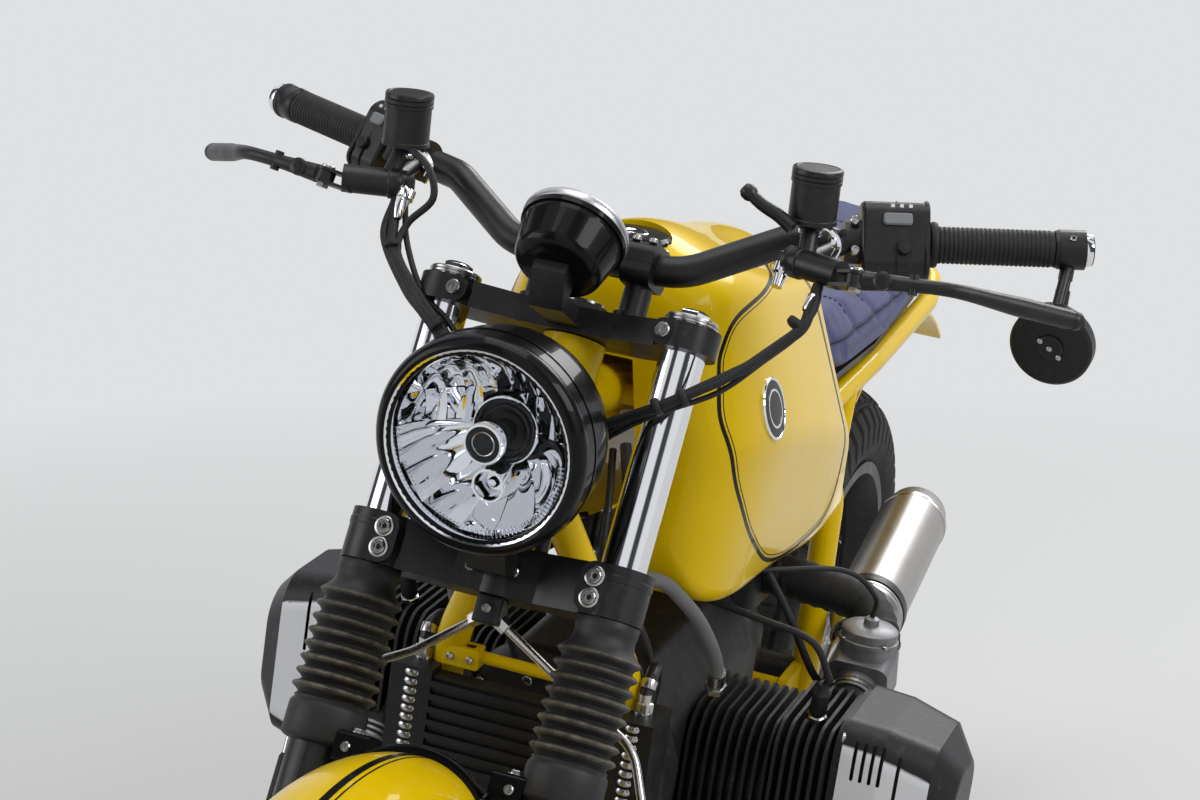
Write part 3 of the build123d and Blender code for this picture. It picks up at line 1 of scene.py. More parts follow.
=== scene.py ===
import json
from math import cos, exp, hypot, pi, radians, sin, sqrt, tan, tau

import bmesh
import bpy
from mathutils import Matrix, Vector
from mathutils.bvhtree import BVHTree


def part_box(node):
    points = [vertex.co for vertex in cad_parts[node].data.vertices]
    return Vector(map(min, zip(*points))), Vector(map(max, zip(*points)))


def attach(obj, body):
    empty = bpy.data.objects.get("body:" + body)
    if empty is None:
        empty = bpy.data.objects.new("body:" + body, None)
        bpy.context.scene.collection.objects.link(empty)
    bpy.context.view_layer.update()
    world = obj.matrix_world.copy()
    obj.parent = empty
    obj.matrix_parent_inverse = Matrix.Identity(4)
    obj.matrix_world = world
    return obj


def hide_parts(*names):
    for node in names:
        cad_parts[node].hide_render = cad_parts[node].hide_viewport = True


# A custom roadster motorcycle leaning on its side stand. Metres throughout, in the row's frame,
# apart from BIKE, FORK, LAMP and DIAL, the frames in millimetres in which added pieces are drawn.
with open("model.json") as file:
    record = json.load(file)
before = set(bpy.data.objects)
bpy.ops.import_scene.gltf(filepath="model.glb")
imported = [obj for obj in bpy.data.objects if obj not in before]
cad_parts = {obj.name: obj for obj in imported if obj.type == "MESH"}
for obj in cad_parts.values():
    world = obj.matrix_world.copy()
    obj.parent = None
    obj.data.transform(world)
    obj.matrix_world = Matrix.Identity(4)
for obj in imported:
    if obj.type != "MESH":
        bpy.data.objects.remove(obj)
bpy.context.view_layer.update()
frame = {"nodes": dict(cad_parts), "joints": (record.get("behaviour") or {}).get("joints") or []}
nodes = frame["nodes"]
joints = {joint["name"]: joint for joint in frame["joints"]}
AHEAD, BACK, LEFT, UP, DOWN = (1, 0, 0), (-1, 0, 0), (0, 1, 0), (0, 0, 1), (0, 0, -1)
SIDES = (1, -1)


def frame_of(origin, across, up):
    """Frame at origin with its Y axis across and its Z axis nearest to up."""
    across = Vector(across).normalized()
    forward = across.cross(Vector(up)).normalized()
    made = Matrix((forward, across, forward.cross(across))).transposed().to_4x4()
    made.translation = Vector(origin)
    return made


def stand(place, origin, out=UP, across=AHEAD):
    """Frame inside place at origin, with +Z along out and +X nearest to across."""
    out = Vector(out).normalized()
    if abs(out.dot(Vector(across).normalized())) > 0.99:
        across = LEFT if abs(out.y) < 0.9 else UP
    upward = out.cross(Vector(across)).normalized()
    made = Matrix((upward.cross(out), upward, out)).transposed().to_4x4()
    made.translation = Vector(origin)
    return place @ made


# The chassis frame: +X forward, +Y to the rider's left, +Z up the leaning machine, ground under the rear axle
WHEEL_RADIUS = 0.320
rear_spin = joints["rear_wheel_spin"]
chassis_up = Vector(AHEAD).cross(Vector(rear_spin["axis"]))
chassis = frame_of(Vector(rear_spin["pos_m"]) - chassis_up * WHEEL_RADIUS, rear_spin["axis"], chassis_up)

# The fork's frame: origin on the steering axis at the top yoke's upper face, +Z up the axis
HEAD_ABOVE_JOINT = 0.100
steering, front_spin = joints["steering_turn"], joints["front_wheel_spin"]
steering_up = Vector(steering["axis"])
fork = frame_of(Vector(steering["pos_m"]) + steering_up * HEAD_ABOVE_JOINT, front_spin["axis"], steering_up)
wheel_hub = fork.inverted() @ Vector(front_spin["pos_m"])

# Headlight and speedometer stand on the fork, each with +Z out of its glass and +X to the rider's left
LAMP_PITCH, DIAL_TILT = radians(29.2), radians(26)
lamp = stand(fork, (0.149, 0, -0.161), (cos(LAMP_PITCH), 0, -sin(LAMP_PITCH)), LEFT)
dial = stand(fork, (0.094, 0, 0.014), (-sin(DIAL_TILT), 0, cos(DIAL_TILT)), LEFT)
MILLI = Matrix.Scale(0.001, 4)
BIKE, FORK, LAMP, DIAL = (place @ MILLI for place in (chassis, fork, lamp, dial))


# Materials

def linear(red, green, blue):
    """Linear colour of the 0 to 255 values seen on a screen."""
    shares = (value / 255 for value in (red, green, blue))
    return *(s / 12.92 if s <= 0.04045 else ((s + 0.055) / 1.055) ** 2.4 for s in shares), 1


def darker(colour, share):
    return *(part * share for part in colour[:3]), 1


def add_node(tree, kind, inputs=(), **settings):
    """A shader node with its settings and its inputs, each a plain value or another node's output."""
    made = tree.nodes.new("ShaderNode" + kind)
    for key, value in settings.items():
        setattr(made, key, value)
    for key, value in dict(inputs).items():
        if isinstance(value, bpy.types.NodeSocket):
            tree.links.new(value, made.inputs[key])
        else:
            made.inputs[key].default_value = value
    return made


class Material:
    """A principled shader with procedural colour, roughness and bump built from object coordinates."""

    def __init__(self, name, colour, roughness, metallic=0.0, **inputs):
        self.data = bpy.data.materials.new(name)
        self.data.use_nodes = True
        self.tree = self.data.node_tree
        self.shader = self.tree.nodes["Principled BSDF"]
        self.coordinates = self.node("TexCoord").outputs["Object"]
        self.colour, self.normal = colour, None
        for key, value in (("Base Color", colour), ("Roughness", roughness), ("Metallic", metallic),
                           *inputs.items()):
            self.shader.inputs[key.replace("_", " ")].default_value = value

    def node(self, kind, inputs=(), **settings):
        return add_node(self.tree, kind, inputs, **settings)

    def drive(self, name, value):
        self.tree.links.new(value, self.shader.inputs[name])
        return self

    def value(self, operation, first, second=0.5):
        """A math node of the inputs, each an output or a number."""
        return self.node("Math", {0: first, 1: second}, operation=operation).outputs[0]

    def placed(self, place, stretch=(1, 1, 1)):
        """Object coordinates seen from the frame place, then stretched."""
        back = place.inverted()
        turned = self.node("Mapping", {"Vector": self.coordinates, "Location": back.translation,
                                       "Rotation": back.to_euler()})
        return self.node("Mapping", {"Vector": turned.outputs[0], "Scale": stretch}).outputs[0]

    def axes(self, place):
        """The three coordinates in the frame place, in metres."""
        return self.node("SeparateXYZ", {0: self.placed(place)}).outputs

    def noise(self, size, detail=3, contrast=0.5, where=None):
        """Noise from 0 to 1 with features about size metres wide."""
        return self.node("TexNoise", {"Vector": where or self.coordinates, "Scale": 1 / size,
                                      "Detail": detail, "Roughness": contrast}).outputs["Fac"]

    def grit(self, size, low, colour, amount):
        """Specks of colour, one in each cell of size metres."""
        cells = self.node("TexVoronoi", {"Vector": self.coordinates, "Scale": 1 / size}).outputs["Distance"]
        return self.tint(self.ramp(cells, low, 0.02), colour, amount)

    def ramp(self, value, low, high, start=0.0, end=1.0):
        """Value carried from low..high to start..end, and held outside."""
        return self.node("MapRange", {0: value, 1: low, 2: high, 3: start, 4: end},
                         clamp=True).outputs["Result"]

    def tint(self, mask, colour, amount=1.0):
        """Lays colour over what is there by the mask."""
        given = {"Factor": self.value("MULTIPLY", mask, amount), "A": self.colour, "B": colour}
        self.colour = self.node("Mix", given, data_type="RGBA").outputs["Result"]
        return self.drive("Base Color", self.colour)

    def mottle(self, size, detail, contrast, low, high, colour, amount):
        """Clouds of colour, where the noise goes from low to high."""
        return self.tint(self.ramp(self.noise(size, detail, contrast), low, high), colour, amount)

    def rough(self, mask, low, high):
        """Roughness from low to high as the mask goes from 0 to 1."""
        return self.drive("Roughness", self.ramp(mask, 0, 1, low, high))

    def bump(self, height, metres):
        """Adds relief: height from 0 to 1 stands this many metres proud."""
        below = {"Normal": self.normal} if self.normal else {}
        relief = self.node("Bump", {"Strength": 1, "Distance": metres, "Height": height, **below})
        self.normal = relief.outputs["Normal"]
        return self.drive("Normal", self.normal)


DUST = linear(150, 138, 118)


def paint(name, colour, dust=0.015):
    made = Material(name, colour, 0.34, Coat_Weight=0.6, Coat_Roughness=0.04, Coat_IOR=1.24, IOR=1.2,
                    Specular_IOR_Level=0.3)
    made.mottle(0.13, 3, 0.5, 0.35, 0.7, darker(colour, 0.86), 0.5).mottle(0.006, 6, 0.75, 0.60, 0.74, DUST,
                                                                           dust)
    return made.rough(made.noise(0.03, 5), 0.28, 0.4).bump(made.noise(0.0035, 1), 0.000005).data


def coated_metal(name, colour, roughness=0.42, grain=0.0011, depth=0.00003, dust=0.10):
    made = Material(name, colour, roughness, Specular_IOR_Level=0.35)
    made.mottle(0.012, 8, 0.75, 0.55, 0.78, DUST, dust).grit(0.004, 0.10, DUST, dust * 0.8)
    made.rough(made.noise(0.02, 5), roughness - 0.1, roughness + 0.16)
    return made.bump(made.noise(grain, 2), depth).data


def cast_metal(name, colour):
    made = Material(name, colour, 0.5, 0.9).mottle(0.03, 6, 0.65, 0.45, 0.75, darker(colour, 0.55), 0.6)
    return made.rough(made.noise(0.008, 5), 0.36, 0.62).bump(made.noise(0.0014, 3, 0.6), 0.00007).data


def bright_metal(name, colour, roughness, wear=0.12):
    made = Material(name, colour, roughness, 1.0)
    made.rough(made.ramp(made.noise(0.012, 6, 0.7), 0.35, 0.75), roughness, roughness + wear)
    return made.bump(made.noise(0.006, 2), 0.000006).data


def rubber(name, colour, roughness, dust):
    made = Material(name, colour, roughness, Specular_IOR_Level=0.35)
    made.mottle(0.009, 8, 0.75, 0.52, 0.78, DUST, dust)
    made.rough(made.noise(0.01, 4), roughness - 0.12, roughness + 0.12)
    return made.bump(made.noise(0.0009, 3), 0.00004).data


def brushed(name, colour, roughness, place, grain):
    """Metal with fine lines drawn along one axis of the frame place."""
    made = Material(name, colour, roughness, 1.0)
    lines = made.noise(0.0012, 4, 0.6, made.placed(place, grain))
    made.rough(lines, roughness - 0.08, roughness + 0.14)
    return made.mottle(0.05, 5, 0.6, 0.5, 0.8, darker(colour, 0.6), 0.35).bump(lines, 0.00002).data


def glass(name, colour, roughness, ior):
    return Material(name, colour, roughness, Transmission_Weight=1.0, IOR=ior).data


yellow = paint("yellow_paint", linear(218, 182, 0))
gloss_black = paint("gloss_black", linear(12, 12, 14), 0.03)
satin_black = coated_metal("satin_black", linear(20, 20, 22), 0.36)
engine_black = coated_metal("engine_black", linear(21, 21, 23), 0.5, 0.0016, 0.0001, 0.18)
cast_alloy = cast_metal("cast_alloy", linear(132, 132, 134))
chrome = bright_metal("chrome", linear(228, 228, 230), 0.04, 0.06)
mirror_bright = bright_metal("mirror_bright", linear(236, 236, 238), 0.02, 0.02)
steel = bright_metal("steel", linear(178, 176, 174), 0.22)
brushed_alloy = brushed("brushed_alloy", linear(188, 188, 190), 0.3, dial, (1, 1, 0.05))
muffler_steel = brushed("muffler_steel", linear(168, 164, 160), 0.3, chassis, (1, 0.06, 1))
black_rubber = rubber("black_rubber", linear(24, 24, 25), 0.6, 0.06)
sheath_grey = rubber("sheath_grey", linear(96, 96, 98), 0.5, 0.1)
seam_thread = rubber("seam_thread", linear(34, 36, 62), 0.8, 0.05)
clear_glass = glass("clear_glass", (1, 1, 1, 1), 0.0, 1.2)
lamp_glass = glass("lamp_glass", (0.96, 0.98, 1, 1), 0.02, 1.12)
red_lens = Material("red_lens", linear(150, 10, 12), 0.08, Coat_Weight=1.0).data
dial_black = coated_metal("dial_black", linear(9, 9, 10), 0.5, 0.0008, 0.00001, 0.02)
dial_white = coated_metal("dial_white", linear(214, 214, 208), 0.5, 0.0008, 0.00001, 0.02)
dial_grey = coated_metal("dial_grey", linear(118, 120, 122), 0.45, 0.0008, 0.00001, 0.05)

# Exhaust steel: straw and blue tints near the ports
pipes = Material("pipe_steel", linear(186, 182, 178), 0.2, 1.0)
forward = pipes.axes(chassis)[0]
from_blue = pipes.value("ABSOLUTE", pipes.value("SUBTRACT", forward, 0.905))
pipes.tint(pipes.ramp(forward, 0.80, 0.93), linear(196, 150, 84), 0.45)
pipes.tint(pipes.ramp(from_blue, 0.035, 0.0), linear(92, 84, 128), 0.5)
pipe_steel = pipes.rough(pipes.noise(0.03, 5), 0.14, 0.3).bump(pipes.noise(0.02, 2), 0.000008).data

# Gaiter rubber: dust rubbed onto the pleats' edges, by distance from the leg's axis
LEG_X, LEG_Y = 34.5, 115      # fork legs in the fork's frame
gaiters = Material("gaiter_rubber", linear(23, 23, 24), 0.55, Specular_IOR_Level=0.4)
along, aside, height = gaiters.axes(fork)
squares = [gaiters.value("POWER", gaiters.value("SUBTRACT", distance, leg / 1000), 2)
           for distance, leg in ((along, LEG_X), (gaiters.value("ABSOLUTE", aside), LEG_Y))]
from_leg = gaiters.value("POWER", gaiters.value("ADD", *squares), 0.5)
edge_dust = gaiters.value("MULTIPLY", gaiters.ramp(from_leg, 0.0355, 0.0385),
                          gaiters.ramp(gaiters.noise(0.011, 6, 0.7), 0.34, 0.62))
on_pleats = gaiters.ramp(height, -0.400, -0.397)
gaiters.tint(gaiters.value("MULTIPLY", edge_dust, on_pleats), linear(160, 148, 124), 0.36)
gaiters.mottle(0.02, 7, 0.7, 0.5, 0.8, DUST, 0.05).rough(gaiters.noise(0.012, 4), 0.42, 0.66)
gaiter_rubber = gaiters.bump(gaiters.noise(0.0009, 3), 0.00004).data

# Tyre rubber: grey scuffing and grit
tyres = Material("tyre_rubber", linear(27, 27, 28), 0.8, Specular_IOR_Level=0.3)
tyres.mottle(0.035, 8, 0.8, 0.4, 0.8, linear(120, 116, 108), 0.14).grit(0.006, 0.14, linear(70, 69, 66), 0.35)
tyre_rubber = tyres.rough(tyres.noise(0.01, 4), 0.66, 0.92).bump(tyres.noise(0.0012, 4), 0.0001).data

# Seat cloth: a fine twill over a soft, mottled blue
cloth = Material("seat_cloth", linear(48, 54, 98), 0.85, Sheen_Weight=0.15, Sheen_Roughness=0.5)
twill = cloth.node("TexWave", {"Vector": cloth.placed(chassis), "Scale": 0.314 / 0.0011},
                   bands_direction="DIAGONAL")
cloth.mottle(0.06, 6, 0.6, 0.4, 0.7, linear(36, 41, 78), 0.6).mottle(0.006, 6, 0.7, 0.55, 0.8,
                                                                     linear(74, 79, 120), 0.3)
cloth.rough(cloth.noise(0.02, 4), 0.74, 0.9).bump(twill.outputs["Fac"], 0.00016)
seat_cloth = cloth.bump(cloth.noise(0.003, 3), 0.00012).data

# Rocker covers: black, with their front and rear faces machined bright down to the slots
covers = Material("rocker_black", linear(17, 17, 19), 0.42, Specular_IOR_Level=0.3)
covers.mottle(0.012, 8, 0.75, 0.55, 0.78, DUST, 0.12)
along, aside = covers.axes(chassis)[:2]
normal = covers.node("NewGeometry").outputs["Normal"]
facing = covers.node("VectorMath", {0: normal, 1: chassis.col[0].to_3d()},
                     operation="DOT_PRODUCT").outputs["Value"]
middle = covers.value("ADD", covers.value("MULTIPLY", covers.value("SIGN", aside), 0.020), 0.806)
reach = covers.value("ABSOLUTE", covers.value("SUBTRACT", along, middle))
bare = covers.value("MULTIPLY", covers.ramp(covers.value("ABSOLUTE", facing), 0.93, 0.96),
                    covers.ramp(reach, 0.0706, 0.0710))
covers.tint(bare, linear(222, 223, 226)).drive("Metallic", covers.value("MULTIPLY", bare, 0.35))
rocker_black = covers.rough(covers.noise(0.004, 5), 0.34, 0.52).bump(covers.noise(0.0016, 2), 0.00006).data

NODE_FINISHES = {
    yellow: "main_frame rear_subframe fuel_tank front_fender rear_fender",
    gloss_black: "headlight_shell headlight_rim speedometer tank_cap fender_bracket",
    satin_black: "fork_sliders top_yoke lower_yoke brake_calipers yoke_brackets bar_risers switch_housings "
                 "master_cylinders hand_levers oil_cooler footrests foot_levers side_stand rear_shock "
                 "front_wheel rear_wheel handlebar seat_pan airbox bar_end_mirror swingarm final_drive",
    engine_black: "crankcase front_engine_cover oil_pan gearbox cylinders cylinder_heads",
    rocker_black: "rocker_covers",
    cast_alloy: "carburettors",
    mirror_bright: "headlight_reflector fork_tubes",
    steel: "exhaust_pipes front_discs front_axle brake_hoses",
    muffler_steel: "muffler",
    gaiter_rubber: "fork_gaiters",
    black_rubber: "grips control_hoses",
    tyre_rubber: "front_tyre rear_tyre",
    seat_cloth: "seat",
    lamp_glass: "headlight_glass",
    red_lens: "tail_light",
}
for material, names in NODE_FINISHES.items():
    for name in names.split():
        nodes[name].data.materials.clear()
        nodes[name].data.materials.append(material)


# Shapes

def polar(reach, angle, height=0):
    return Vector((reach * cos(angle), reach * sin(angle), height))


def mirrored(point, side):
    return Vector((point[0], side * point[1], point[2]))


def rounded(width, height, corner, steps=5):
    """Outline of a rounded rectangle, anticlockwise."""
    return [(x * (width / 2 - corner) + corner * cos(pi / 2 * (turn + step / steps)),
             y * (height / 2 - corner) + corner * sin(pi / 2 * (turn + step / steps)))
            for turn, (x, y) in enumerate(((1, 1), (-1, 1), (-1, -1), (1, -1))) for step in range(steps + 1)]


def inset(outline, depth):
    """The outline drawn in by depth, each corner along its bisector."""
    made = []
    count = len(outline)
    for index, point in enumerate(outline):
        before = Vector(point) - Vector(outline[index - 1])
        after = Vector(outline[(index + 1) % count]) - Vector(point)
        if before.length < 1e-9 or after.length < 1e-9:
            made.append(point)
            continue
        normals = [Vector((-edge.y, edge.x)).normalized() for edge in (before, after)]
        middle = (normals[0] + normals[1]).normalized()
        made.append(tuple(Vector(point) + middle * depth / max(0.5, middle.dot(normals[0]))))
    return made


def smooth(a, b, c, d, steps):
    """Points from b to c on the smooth curve through all four."""
    shares = (step / steps for step in range(steps))
    return [0.5 * (2 * b + (c - a) * t + (2 * a - 5 * b + 4 * c - d) * t ** 2
                   + (3 * b - a - 3 * c + d) * t ** 3) for t in shares]


def flowing(place, points, steps=8):
    """World points of a smooth line through the points."""
    line = [place @ Vector(point) for point in points]
    line = [line[0] * 2 - line[1]] + line + [line[-1] * 2 - line[-2]]
    spans = (smooth(*line[index:index + 4], steps) for index in range(len(line) - 3))
    return [point for span in spans for point in span] + [line[-2]]


def skin_of(mesh):
    """Search tree of a mesh's surface, in metres."""
    return BVHTree.FromPolygons([vertex.co for vertex in mesh.vertices],
                                [tuple(polygon.vertices) for polygon in mesh.polygons])


def added(name, data):
    """A new object in the scene."""
    made = bpy.data.objects.new(name, data)
    bpy.context.scene.collection.objects.link(made)
    return made


class Piece:
    """One mesh made of turned, pressed and bent shapes, which rides on a body."""

    def __init__(self, name, body="frame"):
        self.name, self.body = name, body
        self.points, self.faces, self.finishes, self.slots = [], [], [], []

    def face(self, corners, material):
        if material not in self.finishes:
            self.finishes.append(material)
        self.faces.append(tuple(corners))
        self.slots.append(self.finishes.index(material))

    def skin(self, rings, material, around=True, ends=False):
        """Quads between rings of equal length, with the ends filled if asked."""
        first, count = len(self.points), len(rings[0])
        for ring in rings:
            self.points.extend(ring)
        for low in range(first, first + (len(rings) - 1) * count, count):
            for index in range(count if around else count - 1):
                after = (index + 1) % count
                self.face((low + index, low + after, low + count + after, low + count + index), material)
        if ends:
            self.face(reversed(range(first, first + count)), material)
            self.face(range(len(self.points) - count, len(self.points)), material)
        return self

    def turn(self, place, profile, material, count=36):
        """Turned about place's Z: entries are radius, height, and 6 where the section is a hexagon."""
        rings = []
        for reach, height, *flats in profile:
            ring = []
            for index in range(count):
                angle = tau * index / count
                flat = tau / flats[0] if flats else 0
                stretch = cos((angle + flat / 2) % flat - flat / 2) if flats else 1
                ring.append(place @ polar(reach / stretch, angle, height))
            rings.append(ring)
        return self.skin(rings, material)

    def press(self, place, outline, low, high, material, edge=0.0):
        """A plate of the outline between two heights along place's Z, its rims chamfered."""
        levels = ((low, edge), (low + edge, 0), (high - edge, 0), (high, edge)) if edge else ((low, 0),
                                                                                              (high, 0))
        rings = [[place @ Vector((x, y, height)) for x, y in (inset(outline, depth) if depth else outline)]
                 for height, depth in levels]
        return self.skin(rings, material, ends=True)

    def bend(self, line, radius, material, sides=12):
        """A round bar or hose along world points; radius in millimetres, one or a list."""
        rings = []
        side = line[1] - line[0]
        side = side.normalized().orthogonal().normalized()
        for index, point in enumerate(line):
            ahead = (line[min(index + 1, len(line) - 1)] - line[max(index - 1, 0)]).normalized()
            side = (side - ahead * side.dot(ahead)).normalized()
            other = ahead.cross(side)
            reach = (radius[index] if isinstance(radius, (list, tuple)) else radius) / 1000
            rings.append([point + side * reach * cos(tau * turn / sides)
                          + other * reach * sin(tau * turn / sides) for turn in range(sides)])
        return self.skin(rings, material, ends=True)

    def bolt(self, place, radius, height, material=steel):
        """Cap head with a hexagon socket, standing on place."""
        return self.turn(place, [(radius, -0.5), (radius, height - 0.8), (radius - 0.8, height),
                                 (radius * 0.55, height, 6), (radius * 0.5, height - radius * 0.5, 6),
                                 (0, height - radius * 0.55)], material, 24)

    def nut(self, place, radius, height, material=steel):
        """Hexagon head, standing on place."""
        return self.turn(place, [(radius, -0.5, 6), (radius, height - 0.6, 6), (radius * 0.94, height, 6),
                                 (radius * 0.5, height), (0, height + 0.2)], material, 24)

    def lettering(self, place, text, size, material):
        """Plain text centred on place, in the program's own typeface."""
        curve = bpy.data.curves.new(self.name + "_text", "FONT")
        curve.body = text
        curve.align_x = curve.align_y = "CENTER"
        curve.size, curve.extrude, curve.resolution_u = size, 0.15, 3
        holder = bpy.data.objects.new(self.name + "_text", curve)
        mesh = bpy.data.meshes.new_from_object(holder)
        first = len(self.points)
        self.points.extend(place @ vertex.co for vertex in mesh.vertices)
        for polygon in mesh.polygons:
            self.face([first + index for index in polygon.vertices], material)
        bpy.data.objects.remove(holder)
        bpy.data.meshes.remove(mesh)
        bpy.data.curves.remove(curve)

    def done(self, replaced=(), slot=None, sharp=34):
        mesh = bpy.data.meshes.new(self.name)
        mesh.from_pydata([tuple(point) for point in self.points], [], self.faces)
        for material in self.finishes:
            mesh.materials.append(material)
        mesh.polygons.foreach_set("material_index", self.slots)
        shape = bmesh.new()
        shape.from_mesh(mesh)
        bmesh.ops.remove_doubles(shape, verts=shape.verts, dist=2e-6)
        bmesh.ops.dissolve_degenerate(shape, edges=shape.edges, dist=1e-7)
        bmesh.ops.recalc_face_normals(shape, faces=shape.faces)
        shape.to_mesh(mesh)
        shape.free()
        mesh.shade_smooth()
        mesh.set_sharp_from_angle(angle=radians(sharp))
        made = added(self.name, mesh)
        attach(made, self.body)
        if replaced:
            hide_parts(*replaced)


def leg_at(side, height=0):
    """Frame on a fork leg's axis."""
    return stand(FORK, (LEG_X, side * LEG_Y, height))


# Headlight: a clear reflector of curved facets, with the bulb's shield and a pilot lamp
reflector = Piece("reflector", "steering")
BOWL = ((80.5, -6), (74, -24), (62, -42), (46, -56), (30, -64), (20, -66))
COLUMN, GLASS, HOLE, FACET_STEPS = 13.4, 80.5, 21, 8
WEDGES = (180, 203, 231, 259, 281, 309, 337, 360)


def bowl_depth(radius):
    for (outer, high), (inner, low) in zip(BOWL, BOWL[1:]):
        if radius >= inner:
            return low + (high - low) * (radius - inner) / (outer - inner)
    return BOWL[-1][1]


def facet(corner, swell, tilt_across, tilt_up):
    """One curved mirror facet; corner(u, v) gives X and Y on the bowl."""
    grid = []
    for v in (row / FACET_STEPS for row in range(FACET_STEPS + 1)):
        ring = []
        for u in (column / FACET_STEPS for column in range(FACET_STEPS + 1)):
            x, y = corner(u, v)
            proud = swell * (1 - (2 * u - 1) ** 2) + tilt_across * (u - 0.5) + tilt_up * (v - 0.5)
            ring.append(LAMP @ Vector((x, y, bowl_depth(hypot(x, y)) + proud)))
        grid.append(ring)
    reflector.skin(grid, mirror_bright, around=False)


def on_column(u, v):
    x = left + (right - left) * u
    low, high = sqrt(max(0, HOLE ** 2 - x ** 2)), sqrt(GLASS ** 2 - x ** 2)
    split = min(34 + 0.06 * x, high)
    low, high = (split, high) if row else (low, max(split, low))
    return x, low + (high - low) * v


def on_wedge(u, v):
    return polar(HOLE + (GLASS - HOLE) * v, radians(start + (end - start) * u)).xy


# Upper half: upright columns in two rows; lower half: wedges
for column in range(-6, 6):
    left, right = max(column * COLUMN, -80), min((column + 1) * COLUMN, 80)
    for row in (0, 1):
        facet(on_column, -1.5 if row else -1.1, sin(column * 2.4 + row) * 1.8,
              cos(column * 3.1 + row * 2) * 3 + (2 if row else -2))
for index, (start, end) in enumerate(zip(WEDGES, WEDGES[1:])):
    facet(on_wedge, -2.2, sin(index * 2.1) * 4, cos(index * 1.7) * 4)
# the bowl's back, the stepped socket, the bulb's shield and its cap
for profile, material, count in (([(84.7, -1.4), (84.7, -5), (80.5, -5), (80.5, -9), (86, -9), (60, -62),
                                   (21, -72), (21, -62)], mirror_bright, 64),
                                 ([(29, -60), (29, -53), (27.5, -52), (25.5, -53), (25.5, -58), (23, -58),
                                   (23, -54), (21.5, -53), (20, -54), (20, -64), (9, -66), (0, -66)],
                                  satin_black, 48), ([(29.2, -56), (30.6, -55), (30.6, -53), (29.2, -52)],
                                                     mirror_bright, 48),
                                 ([(14, -60), (14.6, -40), (16.4, -30), (17.4, -24), (18.6, -12), (18.8, -8),
                                   (18, -6.6), (16, -6.4), (15.2, -8), (14.8, -9)], mirror_bright, 48),
                                 ([(15.2, -8.6), (13, -7.8), (0, -7.4)], dial_black, 40),
                                 ([(10.8, -7.7), (10.4, -7.2), (9.8, -7.6)], steel, 40)):
    reflector.turn(LAMP, profile, material, count)
pilot = stand(LAMP, (0, -43, 0))
reflector.turn(pilot, [(18, -62), (16, -28), (15, -25), (13, -25), (11.4, -29), (9.6, -46), (0, -48)],
               mirror_bright)
reflector.turn(pilot, [(5, -48), (5, -38), (3.6, -34), (0, -33)], chrome, 20)
reflector.done(("headlight_reflector",), "bright")

# Rim's inner band with its fine flutes, retaining screw and tab
rim = Piece("headlight_trim", "steering")
rim.turn(LAMP, [(82.6, 5.6), (84.5, 6.9), (86.8, 7.9), (86.8, 7.2), (84.5, 6.2), (82.6, 4.9)], chrome, 72)
for angle in (pi + pi * index / 64 for index in range(64)):
    rim.press(stand(LAMP, polar(77.5, angle, -0.2), UP, polar(1, angle)), rounded(7.5, 1.5, 0.4, 2), -1.6,
              0.2, lamp_glass)
rim.turn(LAMP, [(98.4, -24), (98.9, -24), (98.9, -21.5), (98.4, -21.5)], gloss_black, 72)
tab = stand(LAMP, (0, -98.2, -16), (0, -1, 0))
rim.press(tab, rounded(16, 12, 4), -0.4, 3, gloss_black, 0.8)
rim.bolt(stand(tab, (0, 0, 3)), 3.4, 2.2)
rim.done()

# Speedometer: face, figures, needle, bezel, glass, and the screw under the cup
DIAL_TOP, FIRST_MARK, MARKS = 50, radians(225), 41
clock = Piece("speedometer_face", "steering")
clock.turn(DIAL, [(47.6, 45.6), (49.4, 46), (50, 47.4), (50, 51.6), (48.6, 55), (45.8, 56.6), (42.2, 56.6),
                  (41.4, 55), (41.4, DIAL_TOP + 0.4)], brushed_alloy, 72)
clock.turn(DIAL, [(41.6, DIAL_TOP + 0.3), (0, DIAL_TOP + 0.3)], dial_black, 48)
reader = stand(DIAL, (0, 0, DIAL_TOP + 0.4), UP, BACK)
for index in range(MARKS):
    angle = FIRST_MARK - radians(index * 6.75)
    long, wide = (3, 0.5) if index % 4 else (6, 0.9)
    clock.press(stand(reader, polar(38, angle), UP, polar(1, angle)), rounded(long, wide, 0.2, 2), 0, 0.25,
                dial_white)
    if index % 4 == 0:
        clock.lettering(stand(reader, polar(29, angle, 0.1)), str(index * 5), 6.2, dial_white)
needle = stand(reader, (0, 0, 0.6), UP, polar(1, FIRST_MARK))
clock.press(needle, [(-8, -1.4), (33, -0.4), (33, 0.4), (-8, 1.4)], 0, 0.7, red_lens)
clock.turn(reader, [(5, 0), (5, 2), (4, 2.8), (0, 3)], satin_black, 24)
clock.turn(DIAL, [(41.6, 55.2), (0, 55.8), (0, 54.6), (41.6, 54.2)], clear_glass, 48)
clock.bolt(stand(DIAL, (0, 0, 0), DOWN), 5.2, 2.2, satin_black)
clock.turn(stand(DIAL, (0, 0, 0)), [(8, 0.2), (8, -0.9), (5, -1)], satin_black)
clock.done()

